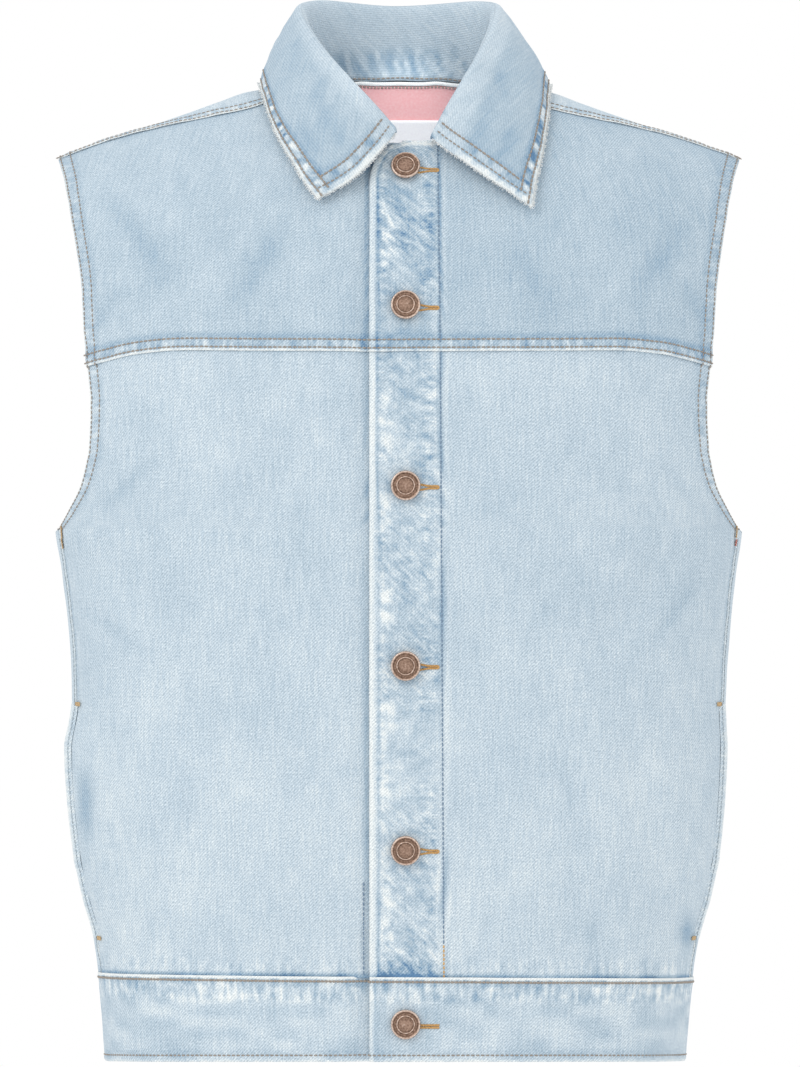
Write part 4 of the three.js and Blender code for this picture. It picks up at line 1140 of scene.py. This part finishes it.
def neckline():
    """Points of the neckline, from the right front end round the back to the left one."""
    fronts = [0, 20, 30, 42, 55, 66, NECK_POINT]
    backs = [x for x in BACK_STOPS if x < NECK_POINT - 4]

    def half(side, end):
        ahead = np.array([end] + [x for x in fronts if x > end + 4], float)
        below = shoulder_top(ahead) - front_neck(ahead)
        behind = np.array(backs[::-1], float)
        return np.vstack([
            body_point(side * angle_at(ahead, 0), rise_at(ahead, below)),
            body_point(np.pi - side * angle_at(behind, 0), back_top(behind)),
        ])

    return np.vstack([half(-1, COLLAR_ENDS[-1]), half(1, COLLAR_ENDS[1])[::-1][1:]])


def smoothed(grid, passes):
    """Evens a grid's inner points out, its outer lines kept."""
    for _ in range(passes):
        near = grid[:-2, 1:-1] + grid[2:, 1:-1] + grid[1:-1, :-2] + grid[1:-1, 2:]
        grid[1:-1, 1:-1] = lerp(grid[1:-1, 1:-1], near / 4, 0.5)
    return grid


NECKLINE = catmull_rom(neckline(), np.linspace(0, 1, 1200))
NECKLINE_FAR = np.concatenate([[0], np.cumsum(np.linalg.norm(np.diff(NECKLINE, axis=0), axis=1))])


def on_neckline(at):
    return np.array([np.interp(at * NECKLINE_FAR[-1], NECKLINE_FAR, NECKLINE[:, k]) for k in range(3)]).T

# %% [markdown]
# At each station one line runs up the stand, over the roll and down the fall. Cloth this thick
# turns in a round of a few millimetres, never in a sharp edge, so three of the line's points are
# spent on the turn.


# %% Rolling the collar
def collar_rows(stations, path):
    """One line over the roll at each station: foot, stand, roll, fall and outer edge."""
    values = [curve(COLLAR[:, [0, k]]) for k in range(1, 9)]
    grid = []
    for at in stations:
        neck = on_neckline(at)
        rx, ry, rz, ex, ey, ez, swell, sag = (float(value(at)) for value in values)
        roll = np.array([rx, ry, rz + 1.3 * float(ripple(np.array(at * 12), 1, 61))])
        away = unit(np.array([rx, ry * 1.2, 0]))
        edge = clear_of_body(np.array([ex, ey, ez]), COLLAR_CLOTH + COLLAR_LIFT)
        foot = neck - away * COLLAR_CLOTH / 2
        lean = foot - roll
        room = SEAM + COLLAR_CLOTH * abs(lean @ away) / np.linalg.norm(lean)
        foot[2] = max(foot[2] + room, clear_of_body(foot, room + NECK_ROOM)[2])
        turn = min(ROLL_TURN, max(LEAST_TURN, (roll[2] - foot[2]) / 3))
        standing = lerp(foot, roll, STAND_BEND) - away * turn / 3
        before = roll - away * turn * 0.15 - (0, 0, turn * 0.6)
        after = roll + away * turn - (0, 0, turn * 0.6)
        roll = roll + away * turn * 0.45
        half_way = lerp(after, edge, 0.5) + away * swell - (0, 0, sag)
        line = catmull_rom([foot, standing, before, roll, after, half_way, edge], path)
        clear = clear_of_body(line, COLLAR_CLOTH + COLLAR_LIFT)
        grid.append(np.where(path[:, None] > FALL_FROM, clear, line))
    return np.array(grid)


def collar():
    stations = spaced(500, 1.35, 0.9, 9)
    path = np.concatenate([np.linspace(0, 0.64, 28)[:-1], np.linspace(0.64, 1, 34)])
    grid = smoothed(collar_rows(stations, path), 16)
    # rows run down the fall and columns with the angle, from the left end round to the right
    grid = grid.swapaxes(0, 1)[::-1, ::-1]
    padded = np.pad(grid, ((1, 1), (1, 1), (0, 0)), mode="reflect", reflect_type="odd")
    across = padded[1:-1, 2:] - padded[1:-1, :-2]
    up = padded[2:, 1:-1] - padded[:-2, 1:-1]
    out = unit(np.cross(across, up))
    return Cloth("collar_cloth", grid + out * COLLAR_CLOTH, out)


collar_cloth = collar()

# %% [markdown]
# Fall and stand are laid flat one by one, so that the weave runs straight on both. The raw edges,
# the ladders and the washed blotches then follow the distance from the edge, as on the fronts.


# %% Finish of the collar
def collar_flat(cloth):
    """Flat places of the collar's points, so that its weave runs straight: fall, then stand."""
    points, foot = cloth.base, cloth.edge["bottom"]
    fold = 1 + int(np.argmax(points[:, :, 2].mean(axis=1)))
    flat = np.zeros((*foot.shape, 2))
    for first, last in ((0, fold), (fold + 1, len(points) - 1)):
        low, high = unroll(points[first], points[last])
        share = (foot[first : last + 1] - foot[first]) / (foot[last] - foot[first])
        flat[first : last + 1] = lerp(low[None], high[None], share[..., None])
    return flat[..., 1], flat[..., 0]


def finish_collar(cloth):
    """Its raw edges, ladders of puckers, washed blotches and creases, then its shell."""
    along, foot, stand = cloth.edge["left"], cloth.edge["bottom"], cloth.edge["top"]
    fall = 1 - smooth(foot, 50, 62)
    cloth.relief += (0.7 * drift(along, foot, 24, 62) + 0.3 * drift(along, foot, 9, 64)) * fall
    cloth.hemmed("bottom", along, lines=(3.4, 9.7), rise=0.35, wear_and_shade=0.3)
    cloth.wear_and_shade += 0.5 * ripple(along, 2.2, 68) * within(foot, 4.4, 9.0, 0.7) - 0.14 * bell(foot, 11.6, 1.4)
    raw = 1 - smooth(foot + 0.6 * ripple(along, 2.4, 65), 2.0, 3.0)
    for side in ("left", "right"):
        cloth.hemmed(
            side, cloth.base[..., 2], lines=(5.6, 11.6), rise=0.3, mask=fall, vertical=True, wear_and_shade=0.2
        )
        cloth.wear_and_shade += 0.3 * ripple(foot, 2.4, 69) * within(cloth.edge[side], 6.4, 11, 0.8) * fall
        raw = np.maximum(raw, fall * (1 - smooth(cloth.edge[side] + 0.6 * ripple(foot, 2.4, 66), 3.2, 4.4)))
    cloth.wear_and_shade += 0.4 * raw - 0.1 * fall + 0.05 * (1 - fall)
    blue = smooth(drift(along, 0.4 * stand, 3.4, 70), -0.4, 0.5)
    pale = smooth(drift(along, 0.3 * stand, 3, 67), 0.0, 0.7)
    cloth.wear_and_shade += within(stand, 1, 19, 6) * (0.2 * pale - 0.36 * blue)
    cloth.relief += 0.4 * ripple(along, 7, 63) * within(foot, 1, 10, 3)
    # the collar's creases dent it and darken it with painted shade
    cloth.creases(COLLAR_CREASES, 0.25)
    cloth.shell(COLLAR_DENIM, "denim_yoke", ["collar"], 1.7, flat=collar_flat(cloth), turned=True)


finish_collar(collar_cloth)
low, high = (np.array(corner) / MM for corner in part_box("collar"))
print("collar CAD box", low.round(1), high.round(1))
print("collar cloth  ", collar_cloth.base.min((0, 1)).round(1), collar_cloth.base.max((0, 1)).round(1))

# %% [markdown]
# A narrow welt edges each side pocket. Inside the back neck a pink cotton facing covers the
# seam, under a twisted white piping, and a woven tape is sewn to it. Flat strips could be placed
# by hand, but they would float or sink on this round form. Each is therefore worked out on the
# surface of the piece that carries it.

# %% Welts, neck facing and tape
WELT_FROM, WELT_TO, WELT_CLOTH = np.radians(75.8), np.radians(80.4), 1.4
FACING_HALF, FACING_DEPTH, FACING_INSIDE = 46, 43, 3.1
TAPE_HALF, TAPE_TOP, TAPE_BOTTOM = 27, -13.0, -44.0
TAPE_INSIDE = CLOTH + 1.5 + 1 + SEAM


def pocket_welt(side):
    v = spaced(144, 2.0, 1.0, 6)[:, None]
    u = np.linspace(0, 1, 12)[None, :]
    rise = lerp(POCKET_BOTTOM, POCKET_TOP, v)
    angle = side * lerp(WELT_FROM, WELT_TO, u)
    points, out = front_spot(side, angle, rise + 0 * angle)
    points, out = in_order(side, points + out * (2 * SEAM + WELT_CLOTH), out)
    cloth = Cloth("pocket_welt_left_cloth" if side > 0 else "pocket_welt_right_cloth", points, out)
    inner = cloth.edge["left" if side > 0 else "right"]
    flush = 1 - smooth(inner, 0, 4)
    cloth.relief += 0.2 - 1.9 * flush + 0.25 * ripple(points[..., 2], 9, 71)
    cloth.wear_and_shade += 0.1 * smooth(inner, 3, 6) - 0.06 * flush
    cloth.rungs_v += 0.4
    node = "pocket_welt_left" if side > 0 else "pocket_welt_right"
    cloth.shell(EDGE_DENIM, "denim_edge", [node], 1.3 - 1.2 * flush)
    return cloth


def inside_back(name, half, top_of, bottom_of, rows, columns, inside):
    """A piece on the inside of the back, between two lines below the neck."""
    x = np.linspace(half, -half, columns)[None, :]
    v = np.linspace(0, 1, rows)[:, None]
    below = shoulder_top(x) - lerp(bottom_of(x), top_of(x), v)
    points, out = spot_on(np.pi - angle_at(x, 0), rise_at(x, below))
    return Cloth(name, points - out * inside, out)


def facing_top(x):
    return height_at(x, back_top(np.abs(x))) - 0.6


def facing_bottom(x):
    return facing_top(x) - FACING_DEPTH * (1 - 0.25 * (x / FACING_HALF) ** 2)


def level(height):
    return lambda x: height + 0 * x


left_welt, right_welt = pocket_welt(1), pocket_welt(-1)
facing = inside_back(
    "back_neck_facing_cloth", FACING_HALF, facing_top, facing_bottom, 34, 70, FACING_INSIDE
)
facing.shell(PINK, "cotton_pink", ["back_neck_facing"], 1.0)
tape = inside_back("neck_tape", TAPE_HALF, level(TAPE_TOP), level(TAPE_BOTTOM), 24, 40, TAPE_INSIDE)
tape.shell(TAPE, "tape_white", ["neck_label"], 0.8)

# %% [markdown]
# Each button is a two-part tack: a post through the cloth and a pressed copper head with
# rings. Bevels could cut the rings into a disc, but the real head is pressed round, so a profile
# of radius and height is turned about the direction out of the cloth. It replaces the plain
# solid with a finer form of the same size.

# %% Buttons
BUTTON_X = 4
BUTTON_HEIGHTS = (-52, -137, -246, -355, -467, -573)
# radius, height, and how brightly the copper is rubbed there
HEAD = [
    (0.02, 0, 0), (3.4, 0, 0), (3.4, 1.5, 0), (6, 1.6, 0), (8.2, 1.9, 0.1), (8.8, 2.3, 0.3), (9.1, 2.9, 0.6),
    (9.0, 3.5, 0.8), (8.7, 4.0, 0.9), (8.3, 4.25, 0.9), (7.9, 4.2, 0.6), (7.6, 3.95, 0.35), (7.3, 3.75, 0.2),
    (6.9, 3.7, 0.4), (6.3, 3.72, 0.42), (5.9, 3.75, 0.25), (5.7, 4.0, 0.5), (5.4, 4.3, 0.85), (5.1, 4.3, 0.8),
    (4.9, 4.1, 0.3), (4.6, 4.05, 0.2), (4.2, 4.15, 0.45), (3, 4.3, 0.5), (1.6, 4.38, 0.55), (0.02, 4.4, 0.6),
]
BUTTON_SIDES = 48


def button(number, height):
    """The head's rings, turned about the direction out of the cloth."""
    base, out = front_spot(1, np.array([angle_at(BUTTON_X, height)]), np.array([float(height)]))
    out = out[0]
    side = unit(np.cross(out, (0, 0, 1)))
    up = np.cross(side, out)
    turn = np.linspace(0, 2 * np.pi, BUTTON_SIDES, endpoint=False)
    ring = np.cos(turn)[:, None] * side + np.sin(turn)[:, None] * up
    head = np.array(HEAD)
    points = base[0] + out * SEAM + head[:, None, :1] * ring[None] + head[:, None, 1:2] * out
    here = np.arange(len(head) * BUTTON_SIDES).reshape(len(head), BUTTON_SIDES)
    beside = np.roll(here, -1, axis=1)
    faces = np.stack([here[:-1], here[1:], beside[1:], beside[:-1]], -1).reshape(-1, 4).tolist()
    faces += [here[0].tolist(), here[-1][::-1].tolist()]
    mesh = bpy.data.meshes.new(f"button_{number}_head")
    mesh.from_pydata((points.reshape(-1, 3) * MM).tolist(), [], faces)
    rubbed = mesh.attributes.new("rubbed", "FLOAT", "POINT")
    rubbed.data.foreach_set("value", np.repeat(head[:, 2], BUTTON_SIDES).astype(np.float32))
    mesh.polygons.foreach_set("use_smooth", np.ones(len(mesh.polygons), bool))
    obj = bpy.data.objects.new(f"button_{number}_head", mesh)
    bpy.context.collection.objects.link(obj)
    dress(obj, COPPER, [f"button_{number}"])
    return obj


buttons = [button(k + 1, height) for k, height in enumerate(BUTTON_HEIGHTS)]
print("buttons", len(buttons), "with", BUTTON_SIDES, "sides")

# %% [markdown]
# All visible seams are topstitched with thick thread, about eight or nine stitches in 25 mm.
# They could be drawn in the finish, but real thread stands proud and catches the light. So a
# Geometry Nodes tree walks along each line and sets one thing after another, turned out of the
# cloth. Stitches and frayed threads share these three steps.


# %% Node trees that work along lines
def new_tree(name, values):
    """A Geometry Nodes tree with named inputs: lines, the values, and a material."""
    tree = bpy.data.node_groups.new(name, "GeometryNodeTree")
    tree.interface.new_socket("Geometry", in_out="INPUT", socket_type="NodeSocketGeometry")
    for title, value in values.items():
        kind = "NodeSocketInt" if isinstance(value, int) else "NodeSocketFloat"
        tree.interface.new_socket(title, in_out="INPUT", socket_type=kind).default_value = value
    tree.interface.new_socket("Material", in_out="INPUT", socket_type="NodeSocketMaterial")
    tree.interface.new_socket("Geometry", in_out="OUTPUT", socket_type="NodeSocketGeometry")
    return tree, add(tree, "NodeGroupInput").outputs


def spots_along(tree, given):
    """Evenly spaced points on the given lines, and the direction stored on the lines."""
    line = add(tree, "GeometryNodeMeshToCurve", {"Mesh": given["Geometry"]}).outputs[0]
    even = add(tree, "GeometryNodeResampleCurve", {"Curve": line, "Length": given["Spacing"]}, mode="LENGTH")
    out = add(tree, "GeometryNodeInputNamedAttribute", {"Name": "out"}, data_type="FLOAT_VECTOR")
    return even.outputs[0], out.outputs[0]


def place_and_paint(tree, given, points, piece, rotation, scale):
    """Sets one piece on every point, makes all of them real and gives them the material."""
    placing = {"Points": points, "Instance": piece, "Rotation": rotation, "Scale": scale}
    rows = add(tree, "GeometryNodeInstanceOnPoints", placing).outputs[0]
    real = add(tree, "GeometryNodeRealizeInstances", {0: rows}).outputs[0]
    painted = add(tree, "GeometryNodeSetMaterial", {"Geometry": real, "Material": given["Material"]})
    add(tree, "NodeGroupOutput", {0: painted.outputs[0]})

# %% [markdown]
# A tree could stay on its piece as a live modifier, but a reusable part has to be plain meshes.
# The lines are fed to the tree, what it makes is kept as a mesh, and the lines are deleted.


# %% Running a tree
def run_nodes(name, paths, tree, values, material):
    """Feeds lines of (points, directions) to a tree and keeps what it makes as a plain mesh."""
    mesh = bpy.data.meshes.new(name)
    points = np.concatenate([path for path, _ in paths]) * MM
    edges, first = [], 0
    for path, _ in paths:
        edges += [(k, k + 1) for k in range(first, first + len(path) - 1)]
        first += len(path)
    mesh.from_pydata(points.tolist(), edges, [])
    out = mesh.attributes.new("out", "FLOAT_VECTOR", "POINT")
    ways = np.concatenate([way for _, way in paths])
    out.data.foreach_set("vector", ways.ravel().astype(np.float32))
    maker = bpy.data.objects.new(name + "_lines", mesh)
    bpy.context.collection.objects.link(maker)
    modifier = maker.modifiers.new("rows", "NODES")
    modifier.node_group = tree
    for item in tree.interface.items_tree:
        if item.item_type == "SOCKET" and item.name in values:
            modifier[item.identifier] = values[item.name]
    bpy.context.view_layer.update()
    evaluated = maker.evaluated_get(bpy.context.evaluated_depsgraph_get())
    made = bpy.data.meshes.new_from_object(evaluated)
    maker.modifiers.remove(modifier)
    bpy.data.objects.remove(maker)
    made.name = name
    obj = bpy.data.objects.new(name, made)
    bpy.context.collection.objects.link(obj)
    made.materials.clear()
    made.materials.append(material)
    print(f"{name}: {len(paths)} lines, {sum(len(p.vertices) - 2 for p in made.polygons)} triangles")
    return obj

# %% [markdown]
# A stitch is a short bead of thread, pulled down at both ends. A squashed ball of few faces is
# enough at this size. Yarns modelled one by one would need many more faces for the same look.


# %% A row of stitches
def stitch_tree():
    """A row of beads, each lying along its line, or across it where Turn across is 1."""
    values = {"Spacing": 0.003, "Length": 0.0026, "Width": 0.0006, "Height": 0.0004, "Turn across": 0.0}
    tree, given = new_tree("row of stitches", values)
    points, out = spots_along(tree, given)
    tangent = add(tree, "GeometryNodeInputTangent").outputs[0]
    side = add(tree, "ShaderNodeVectorMath", {0: out, 1: tangent}, operation="CROSS_PRODUCT").outputs[0]
    aim = add(tree, "ShaderNodeMix", {0: given["Turn across"], 4: tangent, 5: side}, data_type="VECTOR")
    turn = "FunctionNodeAlignRotationToVector"
    aligned = add(tree, turn, {"Vector": aim.outputs[1]}, axis="X").outputs[0]
    facing_out = add(tree, turn, {"Rotation": aligned, "Vector": out}, axis="Z", pivot_axis="X").outputs[0]
    bead = add(tree, "GeometryNodeMeshUVSphere", {"Segments": 6, "Rings": 4, "Radius": 0.5}).outputs[0]
    size = add(tree, "ShaderNodeCombineXYZ", {0: given["Length"], 1: given["Width"], 2: given["Height"]})
    place_and_paint(tree, given, points, bead, facing_out, size.outputs[0])
    return tree


STITCH_TREE = stitch_tree()
print("tree:", STITCH_TREE.name, "with", len(STITCH_TREE.nodes), "nodes")

# %% [markdown]
# A machine runs along an edge at a set distance. Each row here does the same, at the inset that
# the photograph shows. Lines could be drawn over the photograph instead, but they would leave
# the seams as soon as a panel is changed.


# %% Lines for the stitches
def stitches(name, paths, material, spacing, length, width, height, across=0.0):
    """Rows of stitches as one piece: their spacing, length, width and height in millimetres."""
    values = {
        "Spacing": spacing * MM, "Length": length * MM, "Width": width * MM, "Height": height * MM,
        "Turn across": across, "Material": material,
    }
    lifted = [(path + ways * height / 3, ways) for path, ways in paths]
    dress(run_nodes(name, lifted, STITCH_TREE, values, material), material, [])


def clip_path(path, low=-np.inf, high=np.inf):
    """The part of a line that lies between two heights."""
    points, ways = path
    keep = (points[:, 2] > low) & (points[:, 2] < high)
    return points[keep], ways[keep]


def on_front(side, x, z):
    """A line on the finished front at given x and z, read from the nearest grid points."""
    cloth = {(1, True): left_panel, (1, False): left_yoke}[(side, bool(np.mean(z) < -163))]
    points, out = cloth.outer().reshape(-1, 3), cloth.out.reshape(-1, 3)
    path, ways = [], []
    for px, pz in zip(x, z):
        far = (points[:, 0] - px) ** 2 + (points[:, 2] - pz) ** 2
        near = np.argsort(far)[:4]
        weight = 1 / (far[near] + 0.05)
        weight /= weight.sum()
        path.append((px, weight @ points[near, 1], pz))
        ways.append(weight @ out[near])
    return np.array(path), unit(np.array(ways))


grey, side_rows, yoke_rows = [], [], []
for cloth, outer_edge in ((left_panel, "right"), (right_panel, "left")):
    for inset in (1.6, 8.2):
        grey.append(clip_path(cloth.line(outer_edge, inset), low=UNDERARM - 2))
    side_rows.append(clip_path(cloth.line(outer_edge, 3.6), POCKET_TOP - 4, UNDERARM - 6))
for cloth, outer_edge in ((left_yoke, "right"), (right_yoke, "left")):
    for inset in (1.6, 8.2):
        grey.append(cloth.line(outer_edge, inset, 0.0, 0.985))
    for inset in (2.3, 7.4):
        yoke_rows.append(cloth.line("bottom", inset, 0.008, 0.992))
for inset in (1.4, 6.4):
    path, ways = back.line("top", inset)
    for way in (-1, 1):
        keep = way * path[:, 0] > NECK_POINT + 3
        grey.append((path[keep], ways[keep]))
for edge in ("left", "right"):
    for inset in (1.6, 8.2):
        grey.append(clip_path(back.line(edge, inset), low=UNDERARM - 1))
    side_rows.append(clip_path(back.line(edge, 2.0), high=UNDERARM - 6))
side_rows += [left_welt.line("left", 2.4), right_welt.line("right", 2.4)]

# the strip's own row, which changes its thread a little above the band
STRIP_TOP, YOKE_FOOT, STRIP_FOOT, THREAD_CHANGE = -38.0, -166.0, -546.0, -524
strip_z = np.arange(YOKE_FOOT, STRIP_FOOT, -3.0)
strip_row = on_front(1, lerp(25.0, 27.3, (strip_z - YOKE_FOOT) / -380), strip_z)
strip_rows = [clip_path(strip_row, low=THREAD_CHANGE)]
strip_z = np.arange(STRIP_TOP, -160.0, -3.0)
strip_rows.append(on_front(1, lerp(23.6, 25.0, (strip_z - STRIP_TOP) / -122), strip_z))
# a short row on the front below, beside the folded edge
low_z = np.arange(-488.0, -545.0, -3.0)
beside, facing_way = front_spot(-1, angle_at(-21.5, low_z), low_z)
strip_rows.append((beside + facing_way * 0.9, facing_way))

FALL_SHARE = 0.5  # the part of the collar's front edges that belongs to the fall
thick_rows = [collar_cloth.line("bottom", 3.4, 0.008, 0.992), collar_cloth.line("bottom", 9.7, 0.03, 0.97)]
for edge in ("left", "right"):
    thick_rows.append(collar_cloth.line(edge, 11.6, 0.11, FALL_SHARE))
    grey.append(collar_cloth.line(edge, 5.6, 0.05, FALL_SHARE))
grey.append(collar_cloth.line("top", 1.7, 0.06, 0.94))
grey.append(band.line("bottom", 4.0))
print("lines", len(grey), "grey,", len(side_rows), "at the sides,", len(yoke_rows), "on the yokes")

# %% [markdown]
# Grey-brown thread sews most seams, a paler one the side seams, and a blue one the button strip,
# which changes to tan at its lower end. The collar and the band's seam have heavier thread. One
# piece for each thread keeps them apart, so that each can be dyed again alone.

# %% Stitches
stitches("topstitch_grey", grey, GREY_THREAD, 3.0, 2.6, 1.05, 0.65)
stitches("topstitch_side", side_rows, PALE_THREAD, 3.0, 2.9, 0.9, 0.55)
stitches("collar_stitch", thick_rows, GREY_THREAD, 3.1, 3.2, 1.45, 0.8)
stitches("topstitch_strip", strip_rows, BLUE_THREAD, 3.0, 2.7, 1.0, 0.6)
strip_end = [clip_path(strip_row, high=THREAD_CHANGE + 1)]
stitches("topstitch_strip_end", strip_end, TAN_THREAD, 2.4, 2.3, 1.1, 0.7)
stitches("topstitch_yoke", yoke_rows, GREY_THREAD, 3.0, 2.9, 1.2, 0.7)
stitches("band_chain_stitch", [band.line("top", 2.9)], GREY_THREAD, 2.4, 2.8, 1.6, 0.9)

# %% [markdown]
# A keyhole buttonhole is two rows of close stitches across a slit. A bartack is a few turns of
# thread that hold the ends of a seam or a pocket. Both use the same tree, turned across the
# line, since a second tree would do no more. The piping along the neck is the same tree again,
# with fat, half-turned beads that look like two twisted cords.


# %% Buttonholes, bartacks and piping
def buttonhole(height):
    """Two close rows across a slit, and the eye at its outer end, hidden by the button."""
    x = np.linspace(-2, 19.5, 44)
    half = 0.7 + 0.9 * (1 - smooth(x, 8, 15))
    x = np.concatenate([x, np.full(5, 20.0), x[::-1]])
    z = np.concatenate([half, np.linspace(0.6, -0.6, 5), -half[::-1]])
    return on_front(1, BUTTON_X + x, height - 1.0 + z)


def bar(side, around, z, half, upright=False):
    """A bartack: a short close row at an angle and a height on one front."""
    span = np.linspace(-half, half, 12)
    angle = side * (around + (0 * span if upright else span / 100))
    points, out = front_spot(side, angle, z + (span if upright else 0 * span))
    return points + out * 0.8, out


holes = [buttonhole(height) for height in BUTTON_HEIGHTS[:-1]]
for inset in (20.9, 22.4):
    path, ways = band.line("bottom", inset)
    near_button = (np.abs(path[:, 0] - 14) < 11) & (path[:, 1] < -95)
    holes.append((path[near_button], ways[near_button]))
stitches("buttonholes", holes, TAN_THREAD, 0.5, 1.6, 0.6, 0.8, across=1.0)
# side, how far from the side seam, height, half length, upright
BARTACKS = [
    (1, 0.05, -274, 3.5, True), (-1, 0.05, -274, 3.5, True), (-1, 0.04, -281, 3.0, True),
    (1, 0.06, POCKET_TOP, 3, False), (-1, 0.06, POCKET_TOP, 3, False),
    (1, 0.06, POCKET_BOTTOM, 2.5, False), (-1, 0.06, POCKET_BOTTOM, 2.5, False),
]
tacks = [bar(side, SIDE_SEAM - inner, z, half, upright) for side, inner, z, half, upright in BARTACKS]
stitches("bartacks", tacks, BEIGE_THREAD, 0.5, 2.8, 0.6, 0.8, across=1.0)
rust_tack = [bar(1, SIDE_SEAM - 0.04, -280.5, 1.8, True)]
stitches("bartack_rust", rust_tack, RUST_THREAD, 0.5, 2.6, 0.6, 0.8, across=1.0)
neck_path = facing.line("top", 0.2, 0.02, 0.98)
piping = [(neck_path[0] - neck_path[1] * 1.5 + (0, 0, 2.3), -neck_path[1])]
stitches("neck_piping", piping, WHITE_THREAD, 1.3, 3.6, 2.7, 2.3, across=0.45)
under_piping = facing.line("top", 0.3, 0.02, 0.98)
seam_row = [(under_piping[0] - under_piping[1] * 1.7, -under_piping[1])]
stitches("neck_stitch", seam_row, GREY_THREAD, 2.2, 2.0, 1.1, 0.8)

# %% [markdown]
# The raw edge of the collar sheds its weft: thousands of short white ends. A second tree sets
# thin bent fibres along the edge, each aimed outwards with its own chance turn and length. Hair
# could do it too, but it isn't a mesh, and this way a seed gives the same edge every time.


# %% Fray
def fray_tree():
    values = {"Spacing": 0.0003, "Longest": 0.004, "Thread": 0.00012, "Spread": 0.7, "Seed": 7}
    tree, given = new_tree("frayed edge", values)
    points, out = spots_along(tree, given)

    def math(operation, a, b):
        return add(tree, "ShaderNodeMath", {0: a, 1: b}, operation=operation).outputs[0]

    def vector_math(operation, inputs):
        return add(tree, "ShaderNodeVectorMath", inputs, operation=operation).outputs[0]

    anywhere = {0: (-1.0, -1.0, -1.0), 1: (1.0, 1.0, 1.0), "Seed": given["Seed"]}
    chance = add(tree, "FunctionNodeRandomValue", anywhere, data_type="FLOAT_VECTOR").outputs[0]
    sway = vector_math("SCALE", {0: chance, "Scale": given["Spread"]})
    aim = vector_math("ADD", {0: out, 1: sway})
    turned = add(tree, "FunctionNodeAlignRotationToVector", {"Vector": aim}, axis="X").outputs[0]
    lengths = {2: 0.25, 3: 1.0, "Seed": given["Seed"]}
    reach = add(tree, "FunctionNodeRandomValue", lengths, data_type="FLOAT").outputs[1]
    bend = {"Resolution": 4, "Start": (0, 0, 0), "Middle": (0.55, 0.16, 0.05), "End": (1.0, -0.05, 0.12)}
    bent = add(tree, "GeometryNodeCurveQuadraticBezier", bend).outputs[0]
    round_section = {"Resolution": 3, "Radius": math("DIVIDE", given["Thread"], given["Longest"])}
    section = add(tree, "GeometryNodeCurvePrimitiveCircle", round_section).outputs[0]
    thread = {"Curve": bent, "Profile Curve": section, "Fill Caps": True}
    fibre = add(tree, "GeometryNodeCurveToMesh", thread).outputs[0]
    place_and_paint(tree, given, points, fibre, turned, math("MULTIPLY", given["Longest"], reach))
    return tree


def edge_path(cloth, edge, start, end, lean=0.25):
    """The raw edge of a piece, with the direction that points out of the cloth's edge."""
    path, ways = cloth.line(edge, 0.35, start, end)
    inside, _ = cloth.line(edge, 3.0, start, end)
    return path - ways * 0.6, unit(unit(path - inside) + lean * ways)


frayed = [edge_path(collar_cloth, "bottom", 0.0, 1.0)]
frayed += [edge_path(collar_cloth, edge, 0.0, FALL_SHARE) for edge in ("left", "right")]
values = {
    "Spacing": 0.16 * MM, "Longest": 2.2 * MM, "Thread": 0.22 * MM, "Spread": 0.75, "Seed": 7,
    "Material": WHITE_THREAD,
}
fray = run_nodes("collar_fray", frayed, fray_tree(), values, WHITE_THREAD)
dress(fray, WHITE_THREAD, [])

# %% [markdown]
# Eleven cloth pieces are made above. The collar is rolled and the tape lies on its facing; the
# others are shaped on the body, filled out as if worn.

# %% Sheets
print("11 cloth sheets made")
